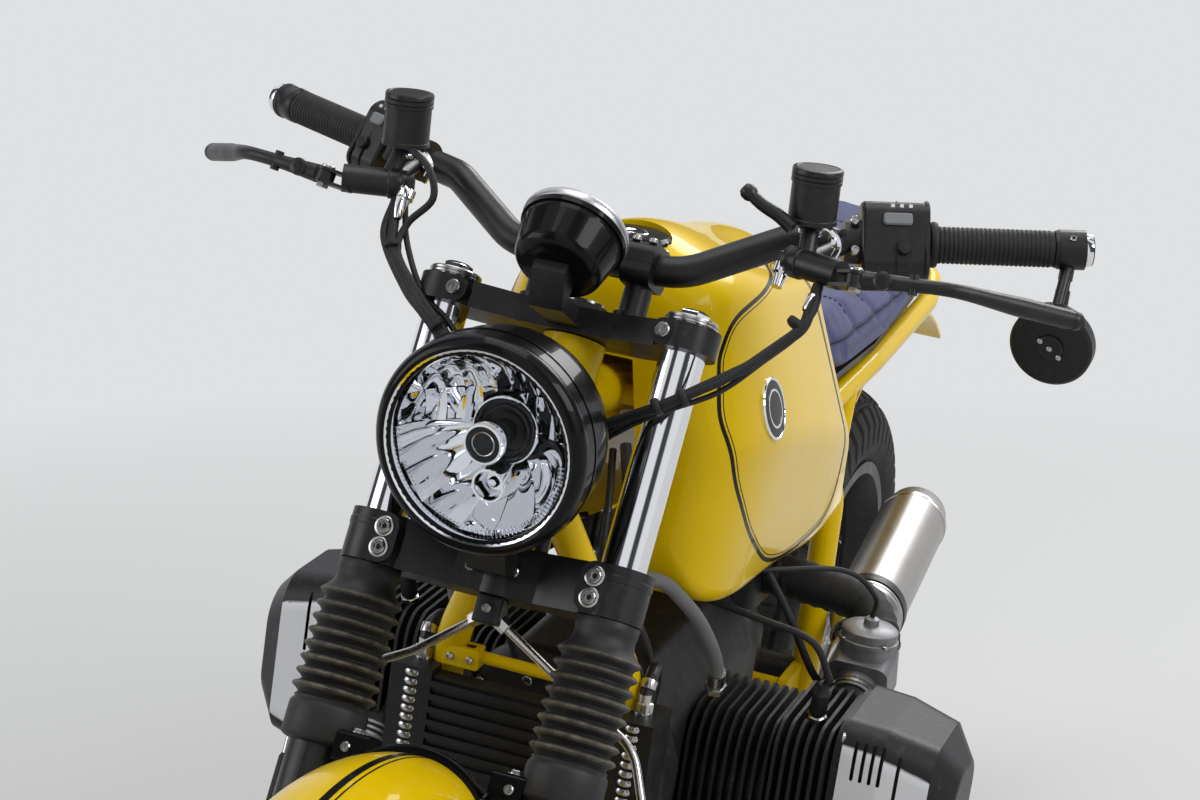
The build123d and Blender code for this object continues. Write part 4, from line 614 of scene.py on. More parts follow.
# Gaiters: rounded pleats between a narrow neck and a wide cuff
PLEATS, FIRST_PLEAT, PLEAT_PITCH = 8, -300, 12.4
profile = [(20.6, -268.6), (27.5, -268.6), (28.2, -269.6), (28.2, -278), (27.4, -280), (27.4, -284),
           (29, -290), (34, -296)]
for index in range(PLEATS):
    tip, reach = FIRST_PLEAT - index * PLEAT_PITCH, 37.8 + 1.2 * index / PLEATS
    profile += [(reach - 1.6, tip + 2.2), (reach, tip), (reach - 1.4, tip - 2.0), (reach - 4.5, tip - 3.9),
                (32.4, tip - 5.6), (31.6, tip - 6.6), (32.2, tip - 7.6), (reach - 5, tip - 8.9)]
base = FIRST_PLEAT - PLEATS * PLEAT_PITCH
profile += [(33.4, base + 1), (35.5, base - 1.5), (36.2, base - 4), (36.4, base - 30), (35.6, base - 32),
            (33, base - 34), (27.6, base - 35.6), (27.4, base - 34), (27.4, base - 2), (20.6, -272)]
for side, word in zip(SIDES, ("left", "right")):
    gaiter = Piece("fork_gaiter_" + word, "steering").turn(leg_at(side), profile, gaiter_rubber, 56)
    gaiter.done(("fork_gaiters",), "black_rubber", 50)

# Stanchions: bright, finely turned tubes with their caps
stanchions = Piece("fork_stanchions", "steering")
for side in SIDES:
    stanchions.turn(leg_at(side), [(0, -485), (19.5, -485), (20.5, -483)]
                    + [(20.5, -460 + 20 * step) for step in range(24)]
                    + [(20.5, 2), (22.2, 2), (23, 2.8), (23, 7.2), (22.2, 8), (12.4, 8), (13, 8, 6),
                       (13, 13.2, 6), (12.4, 14, 6), (0, 14)], chrome, 96)
stanchions.done(("fork_tubes",), "bright", 30)

# Fork: caps, pinch bolts in the yokes' lugs, dust seals and drain screws, and the handlebar clamps
PINCH_X, PINCH_Y, CLAMP_Y = 63, 101, 46
fittings = Piece("fork_fittings", "steering")
for side in SIDES:
    fittings.turn(leg_at(side, 14), [(12, -1), (12, 1), (10, 2), (6, 2, 6), (5.6, -1, 6), (0, -1)],
                  satin_black, 24)
    fittings.turn(leg_at(side), [(23.4, 1.6), (24.2, 2.2), (24.2, 4), (23.2, 4.6), (24.2, 5.2), (24.2, 7),
                                 (23, 8.4), (16, 8.6)], steel, 48)
    fittings.bolt(stand(FORK, (PINCH_X, side * PINCH_Y, -12), AHEAD), 6.6, 4.6)
    fittings.bolt(stand(FORK, (-20, side * 50, -12), BACK), 5, 4)
    for height in (-235.5, -254.5):
        lug = stand(FORK, (PINCH_X, side * PINCH_Y, height), AHEAD)
        fittings.turn(lug, [(9.2, -0.5), (9.2, 0.7), (8.6, 1.1), (7, 1.2)], steel, 24)
        fittings.bolt(stand(lug, (0, 0, 1)), 6.6, 2.4)
    fittings.turn(leg_at(side), [(28.8, -230), (29.6, -231), (29.6, -236), (28.8, -237)], satin_black, 48)
    fittings.bolt(stand(FORK, (LEG_X + 27, side * LEG_Y, -700), AHEAD), 4.5, 3)
    for height in (-560, -640):
        fittings.turn(leg_at(side, height), [(27, -2), (28.2, -1), (28.2, 1), (27, 2)], satin_black, 40)
    for along, across in ((-18.5, -8), (-18.5, 8), (18.5, -8), (18.5, 8)):
        fittings.bolt(stand(FORK, (along, side * CLAMP_Y + across, 74)), 4, 3.2)
    fittings.press(stand(FORK, (0, side * CLAMP_Y, 54)), rounded(51, 29, 1), -0.7, 0.7, dial_black)
for across, height in ((-25.1, -248), (16.1, -245)):
    fittings.bolt(stand(FORK, (30, across, height), AHEAD), 5, 3.4)
fittings.turn(stand(FORK, (0, 0, 10)), [(19, -1), (19, 1.2), (14, 2.4), (9, 2.4), (8, -3), (0, -3)], steel)
fittings.done()

# Controls along the bar: distances run inwards from each bar end
BAR_END, BAR_SWEEP, BAR_RISE = Vector((-112.5, 413, 175.5)), radians(19.7), radians(13.8)
GRIP_IN = Vector((sin(BAR_SWEEP) * cos(BAR_RISE), -cos(BAR_SWEEP) * cos(BAR_RISE), -sin(BAR_RISE)))
RIBS, RIB_PITCH = 26, 4.1


def on_bar(side, distance):
    """Frame on the bar at a distance from its end, with +Z inwards along the grip."""
    return stand(FORK, mirrored(BAR_END + GRIP_IN * distance, side), mirrored(GRIP_IN, side))


grips = Piece("grip_details", "steering")
ribs = []
for start in (38 + index * RIB_PITCH for index in range(RIBS)):
    ribs += [(15.9, start), (16.7, start + 0.9), (16.7, start + 2.6), (15.9, start + 3.5)]
for side in SIDES:
    for profile, material in ((ribs, black_rubber), ([(16.2, 141), (20.4, 142), (21, 144), (20.4, 146),
                                                      (16.2, 147)], black_rubber),
                              ([(11, 8), (16.6, 9), (17.4, 10), (17.4, 14), (16.6, 15), (16.6, 24),
                                (17.2, 25), (17.2, 33), (16.4, 35), (11, 36)], satin_black),
                              ([(15, 8.4), (15.4, 6), (14.6, 1), (12, -0.6), (9.4, -0.8)], chrome)):
        grips.turn(on_bar(side, 0), profile, material, 40)
grips.turn(on_bar(1, 0), [(9.4, -0.8), (5, -0.8, 6), (5, 4, 6), (0, 4)], satin_black, 24)
for angle in (0.3, 2.4, 4.5):
    grips.bolt(stand(on_bar(1, 20), polar(17, angle), polar(1, angle)), 3, 2.4)
grips.done()

# Reservoirs and levers: grooved caps, bright necks, pivots, adjusters, blades and banjo fittings
RESERVOIR_TOP, RESERVOIR_TILT = Vector((60, 198, 158)), radians(26.8)
RESERVOIR_UP = Vector((sin(RESERVOIR_TILT), 0, cos(RESERVOIR_TILT)))
LEVER_PIVOT, LEVER_KNEE, LEVER_TIP = Vector((60, 256, 66)), Vector((60, 334, 74)), Vector((-42, 428, 92))
LEVER_NORMAL = (LEVER_KNEE - LEVER_PIVOT).cross(LEVER_TIP - LEVER_PIVOT).normalized()
CYLINDER_IN = Vector((-0.32, -0.93, 0.16)).normalized()
controls = Piece("control_fittings", "steering")
for side in SIDES:
    cap = stand(FORK, mirrored(RESERVOIR_TOP, side), RESERVOIR_UP, LEFT)
    controls.turn(cap, [(21.4, -13.4), (22.6, -12.8), (22.6, -10), (21.9, -9.4), (22.6, -8.8), (22.6, -5.6),
                        (21.9, -5), (22.6, -4.4), (22.6, -1.2), (21.8, 0), (19, 0.5), (17.6, -0.4), (0, 0.2)],
                  satin_black, 60)
    controls.turn(cap, [(21.4, -44), (22.2, -45), (22.2, -48.6), (19, -49.6), (12, -52), (9.5, -56),
                        (9.5, -62), (4, -64)], satin_black, 48)
    controls.turn(cap, [(10.2, -55), (10.8, -56), (10.8, -59), (10.2, -60)], chrome)
    controls.bend(flowing(cap, [(8, 0, -50), (20, 0, -54), (27, 0, -66), (22, 0, -80)], 5), 3.2, chrome, 10)
    controls.nut(stand(cap, (22, 0, -62), AHEAD), 5, 4, chrome)
    # lever pivot screw and nut, adjuster and its knob
    normal, pivot, knee = mirrored(LEVER_NORMAL, side), mirrored(LEVER_PIVOT, side), mirrored(LEVER_KNEE,
                                                                                              side)
    controls.bolt(stand(FORK, pivot + normal * 7.2, normal), 6.5, 3)
    controls.nut(stand(FORK, pivot - normal * 7.2, -normal), 5.5, 4)
    blade = (knee - pivot).normalized()
    front = blade.cross(normal) * (1 if blade.cross(normal).x > 0 else -1)
    controls.turn(stand(FORK, pivot + blade * 26, front), [(7.5, 3), (8.2, 3.6), (8.2, 8.4), (7.4, 9),
                                                           (3, 9.4), (0, 9)], satin_black, 24)
    controls.bend([FORK @ (pivot + blade * 52 + normal * reach) for reach in (-9, 9)], 4.2, satin_black, 16)
    # a wide bevelled blade along the lever, and its ball
    tip_way = mirrored(LEVER_TIP - LEVER_KNEE, side).normalized()
    tip = mirrored(LEVER_TIP, side)
    line = flowing(FORK, [pivot + blade * 8, pivot + blade * 46, knee + tip_way * 14, knee + tip_way * 70,
                          tip - tip_way * 6])
    shares = [index / len(line) for index in range(len(line))]
    controls.bend(line, [8.6 - 2.6 * sin(pi * min(1, share * 1.3)) + 0.4 * share for share in shares],
                  satin_black)
    controls.turn(stand(FORK, tip, tip_way), [(0, -8.6), (5, -7.4), (8.4, -3), (8.8, 0), (8.2, 3.6), (5, 7.2),
                                              (0, 8.4)], satin_black, 28)
    # clamp bolts in front of the bar and the master cylinder's end
    for lift in (-14, 14):
        controls.bolt(stand(on_bar(side, 216.5), (18, side * lift, 0), AHEAD), 4.2, 5)
    cylinder_in = mirrored(CYLINDER_IN, side)
    cylinder_end = mirrored(LEVER_PIVOT + CYLINDER_IN * 74, side)
    controls.turn(stand(FORK, cylinder_end, cylinder_in), [(13.4, -16), (14.4, -15), (14.4, -6), (11, 0),
                                                           (7, 0.6, 6), (7, 8, 6), (0, 8.4)], satin_black)
    controls.turn(stand(FORK, cylinder_end + cylinder_in * 4, (0.2, 0, -1)),
                  [(8, 6), (8, 15), (6, 17), (5, 28), (0, 28)], chrome, 24)
# clutch side's finger arm beside the reservoir
FINGER = [(62, 190, 100), (64, 176, 108), (68, 160, 114), (70, 146, 122)]
controls.bend(flowing(FORK, FINGER, 6), [6.4 - 0.06 * index for index in range(19)], satin_black)
controls.turn(stand(FORK, FINGER[-1], (0.2, -0.8, 0.5)), [(6, -5), (7.4, -2), (7.4, 3), (5, 6.6), (0, 7.4)],
              satin_black, 20)
controls.done()

# Switches: seams, buttons and paddle on each housing
switches = Piece("switch_details", "steering")
for side, depth in ((1, 58), (-1, 34)):
    box = on_bar(side, 150)
    for height, size, low, high, material, edge in ((depth * 0.5, (52.5, 70.5, 14), -0.6, 0.6, dial_black, 0),
                                                    (3, (54, 72, 14), -3, 1.2, satin_black, 1),
                                                    (depth, (50, 68, 13), -1, 2.6, satin_black, 1.6)):
        switches.press(stand(box, (0, 0, height)), rounded(*size), low, high, material, edge)
    switches.press(stand(box, (26, side * 14, depth * 0.5), AHEAD, UP),
                   rounded(26 if side > 0 else 16, 11, 3), 0, 4.5, dial_grey, 1.2)
    switches.turn(stand(box, (26, side * -12, depth * 0.4), AHEAD), [(6.4, 0), (6.4, 3), (5.4, 4), (0, 4.4)],
                  dial_black, 24)
    for lift in (0, 8, 16):
        switches.press(stand(box, (26, side * 27, depth * 0.3 + lift), AHEAD), rounded(3.4, 3.4, 0.8, 2), 0,
                       0.5, dial_white)
    for lift in (-20, 20):
        switches.bolt(stand(box, (-26, lift, depth * 0.5), BACK), 3.2, 2)
    switches.press(stand(box, (-26, side * 4, depth * 0.4), BACK, UP), rounded(18, 9, 3), 0, 5,
                   red_lens if side < 0 else dial_grey, 1)
switches.done()

# Mirror: ball joint, hub, glass and rim
mirror = Piece("mirror_details", "steering")
disc = stand(FORK, (-112, 399, 84), (0.758, 0, -0.652), LEFT)
mirror.turn(disc, [(36.9, -7), (38.2, -6.4), (38.2, 5), (36, 7), (30, 7.6), (12, 7.8), (12, 10), (10.6, 11),
                   (0, 11)], satin_black, 64)
mirror.turn(disc, [(36.6, -6.9), (35.4, -6.4), (0, -6.4)], mirror_bright, 64)
for spot in ((0, 0), (9, -7), (-9, 6)):
    mirror.turn(stand(disc, (*spot, 10)), [(2.6, 0), (2.6, 1.6), (1.8, 2.2), (0, 2.2)], steel, 16)
stem = FORK @ Vector((-107, 396, 156)), FORK @ Vector((-110, 398, 112))
mirror.bend([stem[0].lerp(stem[1], t) for t in (0.05, 0.3, 0.32, 0.5, 0.52, 0.8, 1)],
            [6.6, 6.6, 5.4, 5.4, 6.8, 6.8, 4], satin_black, 24)
mirror.done(slot="mirror_glass")

# Hoses beside the two that the frame carries, their ties, ferrules and the throttle cable's loop
hoses = Piece("hose_bundle", "steering")
LEFT_RUN = [(48, 218, 60), (58, 215, 22), (68, 190, -20), (74, 160, -52), (76, 124, -78), (62, 84, -100),
            (40, 46, -130), (34, 30, -190), (30, 26, -221)]
RIGHT_RUN = [(42, -186, 60), (50, -176, 20), (60, -140, -24), (64, -110, -46), (60, -80, -74),
             (44, -52, -112), (34, -40, -160), (30, -30, -221)]
THROTTLE = [(-10, -236, 112), (26, -214, 118), (48, -190, 110), (58, -160, 92), (52, -150, 66),
            (46, -170, 40), (52, -168, 10), (62, -128, -28), (62, -92, -58), (44, -50, -108), (30, -30, -160),
            (28, -14, -221)]
BOW = (0.6, 1.3, 1, 1.35, 1, 1, 1, 1, 0.8)
for run, ahead, out, lift, radius in ((LEFT_RUN, 0, 8, 3.8, 3.2), (LEFT_RUN, -7, 4, -3, 2.6),
                                      (RIGHT_RUN, 0, -8.4, 2, 3.4), (RIGHT_RUN, -6, 7, 3, 2.8)):
    beside = [Vector(point) + Vector((ahead, out, lift)) * bow for point, bow in zip(run, BOW)]
    hoses.bend(flowing(FORK, beside), radius, black_rubber)
for point, way in (((58, 214.5, 18), (0.2, -0.4, -1)), ((74, 139.5, -69), (0.1, -0.8, -0.6)),
                   ((76, 119, -82), (0, -0.8, -0.6)), ((50, -176.5, 17), (0.2, 0.4, -1)),
                   ((64, -106, -50), (0, 0.8, -0.6))):
    hoses.press(stand(FORK, point, way), rounded(17, 15, 6), -3.2, 3.2, black_rubber, 0.8)
hoses.turn(stand(FORK, (44, -184, 66), (0.15, 0.15, -1)), [(4.6, -8), (6, -7), (6, 3), (5, 3, 6), (5, 14, 6),
                                                           (4.2, 22), (3.4, 24)], chrome, 24)
hoses.turn(stand(FORK, (50, 221, 40), (0.15, -0.1, -1)), [(5.4, -8), (6.2, -7), (6.2, 6), (5.4, 8)], chrome,
           24)
hoses.bend(flowing(FORK, THROTTLE), 3.4, black_rubber)
hoses.done(slot="black_rubber", sharp=60)

# Brake pipes' hexagon fittings, sheaths and clips; calipers' bolts, pad pins and bleed nipples
pipes = Piece("brake_fittings", "steering")
UNION = Vector((8, -4, -282))
pipes.press(stand(FORK, UNION + Vector((0, 0, -10))), rounded(18, 26, 3), -1, 24, satin_black, 1)
pipes.bolt(stand(FORK, (17, -4, -280), AHEAD), 4.4, 3.4)
for side in SIDES:
    toward = Vector((-30, side * 82, -48)).normalized()
    pipes.turn(stand(FORK, UNION + toward * 12, toward), [(5, -3, 6), (6, -2, 6), (6, 9, 6), (4.6, 10)],
               steel, 24)
    pipes.turn(stand(FORK, (-29, side * 171, -470)), [(4.2, -40), (6, -38), (6, 20), (4.2, 24)], black_rubber,
               20)
    pipes.turn(stand(FORK, (-32, side * 86, -605)), [(4, 12), (6.6, 10, 6), (6.6, -4, 6), (4, -5)], steel, 24)
pipes.done()
brakes = Piece("brake_details", "steering")
for side in SIDES:
    face = stand(FORK, (LEG_X - 64, side * 95, -664), (0, side, 0), UP)
    for along in (-34, 0, 34):
        profile = [(15, -0.4), (15, 1.4), (13.6, 2.4), (6, 2.6), (5, 1.4), (0, 1.4)] if along else \
            [(6, -0.4), (6, 2), (5, 3), (0, 3)]
        brakes.turn(stand(face, (along, -14 if along else 8, 0)), profile, satin_black, 32)
    for along in (-44, 44):
        brakes.bolt(stand(face, (along, 18, 0)), 5, 3.4)
    brakes.turn(stand(face, (50, -8, -12), AHEAD), [(3.4, 0, 6), (3.4, 6, 6), (2, 7), (2, 11), (1.2, 12),
                                                    (0, 12)], steel, 24)
brakes.done()

# Tank: pinstripes and blank discs laid on its sides, and the cap's flutes
tank_skin = skin_of(nodes["fuel_tank"].data)
# the pinstripe's corners, X and Z, round the knee panel
STRIPE = [Vector(corner) for corner in ((740, 965), (820, 972), (900, 971), (968, 962), (1000, 936),
                                        (1010, 904), (1014, 867), (999, 819), (974, 782), (937, 745),
                                        (876, 706), (823, 686), (760, 674), (695, 671), (620, 673),
                                        (582, 690), (576, 730), (596, 790), (622, 850), (648, 905),
                                        (686, 946))]
FLUTES = 24


def on_tank(x, z, side):
    """Point of the tank's flank at x, z in the bike's millimetres, and the way out of it."""
    start = BIKE @ Vector((x, side * 300, z))
    way = (BIKE @ Vector((x, 0, z)) - start).normalized()
    hit, normal = tank_skin.ray_cast(start, way)[:2]
    if hit is None:
        hit, normal = tank_skin.find_nearest(start + way * 0.16)[:2]
    return hit, -normal if normal.dot(way) > 0 else normal


tank_trim = Piece("tank_trim")
loop = STRIPE[-1:] + STRIPE + STRIPE[:2]
fine = [point for index in range(len(STRIPE)) for point in smooth(*loop[index:index + 4], 8)]
for side in SIDES:
    laid = [on_tank(point.x, point.y, side) for point in fine]
    for near, far in ((-2.3, 2.3), (4.8, 5.9)):
        rows = []
        for index, (point, out) in enumerate(laid):
            ahead = laid[(index + 1) % len(laid)][0] - laid[index - 1][0]
            across = out.cross(ahead).normalized() * side
            row = []
            for reach, proud in ((near, -0.2), (near, 0.25), (far, 0.25), (far, -0.2)):
                spot, normal = tank_skin.find_nearest(point + across * reach / 1000)[:2]
                row.append(spot + normal * (proud if normal.dot(out) > 0 else -proud) / 1000)
            rows.append(row)
        tank_trim.skin(rows + rows[:1], gloss_black, around=False)
    middle, out = on_tank(920, 868, side)
    disc = Matrix.Translation(middle) @ out.to_track_quat("Z", "Y").to_matrix().to_4x4() @ MILLI
    tank_trim.turn(disc, [(30.6, -3), (30.6, 1.6), (29.6, 2.6), (28.2, 2.6), (27.6, 2)], chrome, 64)
    tank_trim.turn(disc, [(27.6, 2), (20, 2.5), (0, 2.9)], gloss_black, 64)
    tank_trim.turn(disc, [(19, 2.5), (19, 3), (18, 3.2), (17, 3), (17, 2.6)], chrome, 64)
cap_low, cap_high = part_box("tank_cap")
cap = Matrix.Translation((cap_low + cap_high) / 2) @ chassis.to_3x3().to_4x4() @ MILLI
for index in range(FLUTES):
    tank_trim.press(stand(cap, polar(34, tau * index / FLUTES)), rounded(3, 3, 1.4, 3), 0, 7.5, gloss_black,
                    0.6)
tank_trim.turn(cap, [(12, 9), (12, 10.4), (10.6, 11), (9, 10.4), (0, 10.2)], chrome, 40)
tank_trim.done()

# Front fender: its two stripes, a rolled edge and the bolts of the arched band
HUB, REAR_HUB = stand(FORK, wheel_hub * 1000, (0, -1, 0)), stand(BIKE, (0, 0, 320), (0, -1, 0))
FENDER_RADIUS, FENDER_BEND, BAND_BEND, BAND_EAR = 338, 81.06, 85.3, Vector((46, 76, -416.6))
fender_trim = Piece("fender_trim", "steering")
for near, far in ((-3.4, 3.4), (7.4, 8.8)):
    rows = []
    for angle in (radians(43 + 126 * step / 96) for step in range(97)):
        rows.append([HUB @ polar(FENDER_RADIUS - FENDER_BEND + sqrt(FENDER_BEND ** 2 - across ** 2) + proud,
                                 angle, -across) for across, proud in ((near, -0.3), (near, 0.35),
                                                                       (far, 0.35), (far, -0.3))])
    fender_trim.skin(rows, gloss_black, around=False)
for side in SIDES:
    edge = [HUB @ polar(302, radians(42.5 + 127 * step / 64), side * 65.6) for step in range(65)]
    fender_trim.bend(edge, 1.8, yellow, 8)
fender_trim.done(slot="yellow_paint")
band_bolts = Piece("band_bolts", "steering")
for side in SIDES:
    ear = stand(FORK, mirrored(BAND_EAR, side))
    band_bolts.nut(ear, 5.6, 4).turn(ear, [(8.6, -0.4), (8.6, 0.8), (5, 1)], steel, 28)
    band_bolts.bolt(stand(FORK, (62, side * 78, -431), AHEAD), 4.6, 3.4)
band_bolts.done()

# Tyres: blocks between grooves, cut into the crown
TYRE_RADIUS, TREAD_EDGE, CROWN_STEPS, TREAD_STEPS = 320, radians(68), 44, 560
BLOCKS_ROUND, BLOCK_COLUMNS = 56, 5


def treaded(end, hub, crown, bead, bead_half, groove):
    """A tyre of rings; its crown's blocks keep the tyre's own size and the grooves lie below."""
    middle, high = TYRE_RADIUS - crown, crown * 0.96
    bulge = (high + bead_half) / 2 + 2
    wall = [(bead + 34, high), (bead + 22, bulge), (bead + 11, bead_half - 0.3), (bead, bead_half - 0.3)]
    wall += [(reach, -level) for reach, level in reversed(wall)]
    rings = []
    for step in range(TREAD_STEPS):
        turn = tau * step / TREAD_STEPS
        ring = []
        for index in range(CROWN_STEPS + 1):
            slope = -TREAD_EDGE + 2 * TREAD_EDGE * index / CROWN_STEPS
            column = index / CROWN_STEPS * BLOCK_COLUMNS
            phase = step / TREAD_STEPS * BLOCKS_ROUND + 0.5 * (int(column) % 2)
            depth = 0.85 if min(phase % 1, 1 - phase % 1) * 2 < 0.26 else 0
            if min(column % 1, 1 - column % 1) * 2 < 0.2 and 0.5 < column < BLOCK_COLUMNS - 0.5:
                depth = 1
            reach = crown - groove * depth
            ring.append(hub @ polar(middle + reach * cos(slope), turn, reach * sin(slope)))
        rings.append(ring + [hub @ polar(reach, turn, level) for reach, level in wall])
    tyre = Piece(end + "_tread", end + "_wheel").skin(rings + rings[:1], tyre_rubber)
    for side in SIDES:
        for reach, level in ((bead + 14, bead_half + 2), (bead + 30, crown * 0.93)):
            tyre.turn(hub, [(reach, side * (level - 1.5)), (reach + 0.8, side * level),
                            (reach + 1.6, side * (level - 1.2))], tyre_rubber, 120)
    tyre.done((end + "_tyre",), "tyre_rubber", 28)


treaded("front", HUB, 52, 230, 36, 4.5)
treaded("rear", REAR_HUB, 65, 218, 52, 5.5)

# Wheels: spoke nipples, valve, hub collars and disc bolts
SPOKES = 36
for end, hub, bead, lift in (("front", HUB, 230, 8.0), ("rear", REAR_HUB, 218, 8.4)):
    wheel = Piece(end + "_wheel_fittings", end + "_wheel")
    for index in range(SPOKES):
        turn = tau * index / SPOKES
        level = lift if index % 2 else -lift
        wheel.turn(stand(hub, polar(bead - 16, turn, level), polar(-1, turn, level * 0.02)),
                   [(4, -2), (4, 0), (3.2, 1, 6), (3.2, 12, 6), (2.1, 13)], steel, 12)
    wheel.turn(stand(hub, (bead - 20, 0, 0), BACK), [(5, 0), (5, 3), (3, 4), (3, 22), (4, 23), (4, 32),
                                                     (0, 33)], steel, 20)
    for turn in (tau * (index + 0.5) / 6 for index in range(6)):
        if end == "rear":
            wheel.nut(stand(hub, polar(34, turn, -46), DOWN), 6, 4.6)
        else:
            for face in SIDES:
                wheel.bolt(stand(hub, polar(43, turn, face * 67.6), (0, 0, face)), 5.4, 3)
    if end == "rear":
        wheel.turn(stand(hub, (0, 0, -46), DOWN), [(24, -0.4), (24, 3), (20, 5), (13, 5), (12, 3), (0, 3)],
                   cast_alloy, 40)
    wheel.done()

# Fender band: a raised lip that flares out to the ears
lip = []
for across in (-64 + 128 * step / 40 for step in range(41)):
    flare = 5 * max(0, abs(across) - 52) / 12
    lip.append(HUB @ polar(FENDER_RADIUS + 5.6 - BAND_BEND + sqrt(BAND_BEND ** 2 - across ** 2) + flare,
                           radians(88), across))
Piece("band_lip", "steering").bend(lip, 3.4, gloss_black).done()

# Oil cooler: stacked header beads, fine fins, the bracket on the bar above and hoses back to the crankcase
FINS = 56
cooler = Piece("cooler_details")
for side in SIDES:
    for index in range(11):
        bead = stand(BIKE, (1119, side * 110, 504.5 + index * 9))
        cooler.turn(bead, [(5, 0), (8.6, 1), (9.8, 3), (9.8, 5), (8.6, 7), (5, 8)], steel, 28)
    cooler.turn(stand(BIKE, (1097, side * 110, 605)), [(9, -1), (9, 2), (8, 3, 6), (8, 11, 6), (6.5, 12),
                                                       (6.5, 20)], steel, 24)
for index in range(FINS):
    cooler.press(stand(BIKE, (1110, -87 + 174 * index / (FINS - 1), 508)), rounded(22, 0.7, 0.2, 1), 0, 90,
                 cast_alloy)
cooler.press(stand(BIKE, (1094, -72, 606)), rounded(22, 36, 3), 0, 20, yellow, 1)
for across in (-82, -62):
    cooler.bolt(stand(BIKE, (1105, across, 616), AHEAD), 3.6, 3)
for side in SIDES:
    cooler.turn(stand(BIKE, (1094, side * 60, 618), (0, side, 0)), [(6, 0), (9, 1), (9, 9), (6, 10)],
                satin_black, 28)
    hose = flowing(BIKE, ((1097, side * 110, 622), (1086, side * 110, 636), (1060, side * 106, 636),
                          (1034, side * 100, 606), (1016, side * 92, 570), (1004, side * 84, 545)), 10)
    cooler.bend(hose, 6.5, satin_black, 14)
    for place in (4, len(hose) - 8):
        cooler.bend(hose[place:place + 5], 8, steel, 18)
cooler.done()

# Wiring and breather hoses behind the steering head
loom = Piece("wiring_loom")
for side, radius, points in ((1, 5.5, ((1042, 40, 838), (1070, 56, 806), (1088, 64, 760), (1078, 76, 700),
                                       (1052, 92, 650), (1020, 96, 590))),
                             (1, 3.6, ((1040, 28, 830), (1078, 42, 796), (1100, 50, 750), (1086, 58, 690),
                                       (1062, 62, 640), (1030, 70, 590))),
                             (-1, 5, ((1042, 42, 838), (1068, 60, 804), (1090, 66, 756), (1082, 72, 700),
                                      (1060, 84, 656), (1020, 92, 590))),
                             (-1, 3.4, ((1046, 22, 826), (1090, 34, 780), (1096, 40, 720), (1080, 44, 670),
                                        (1050, 40, 620), (1020, 40, 590)))):
    hose = flowing(BIKE, [mirrored(point, side) for point in points], 10)
    loom.bend(hose, radius, black_rubber)
    for place in (12, 30):
        loom.bend(hose[place:place + 2], radius + 0.9, satin_black)
BREATHER = ((1112, 58, 716), (1092, 78, 728), (1060, 98, 722), (1030, 114, 698), (1000, 126, 670),
            (966, 134, 634), (940, 136, 604), (916, 132, 575))
for side in SIDES:
    hose = flowing(BIKE, [mirrored(point, side) for point in BREATHER])
    for part, radius, material, count in ((hose, 7, sheath_grey, 14), (hose[-8:], 9, steel, 16),
                                          (hose[-3:], 11, steel, 6), (hose[:5], 8.6, satin_black, 16)):
        loom.bend(part, radius, material, count)
loom.done()

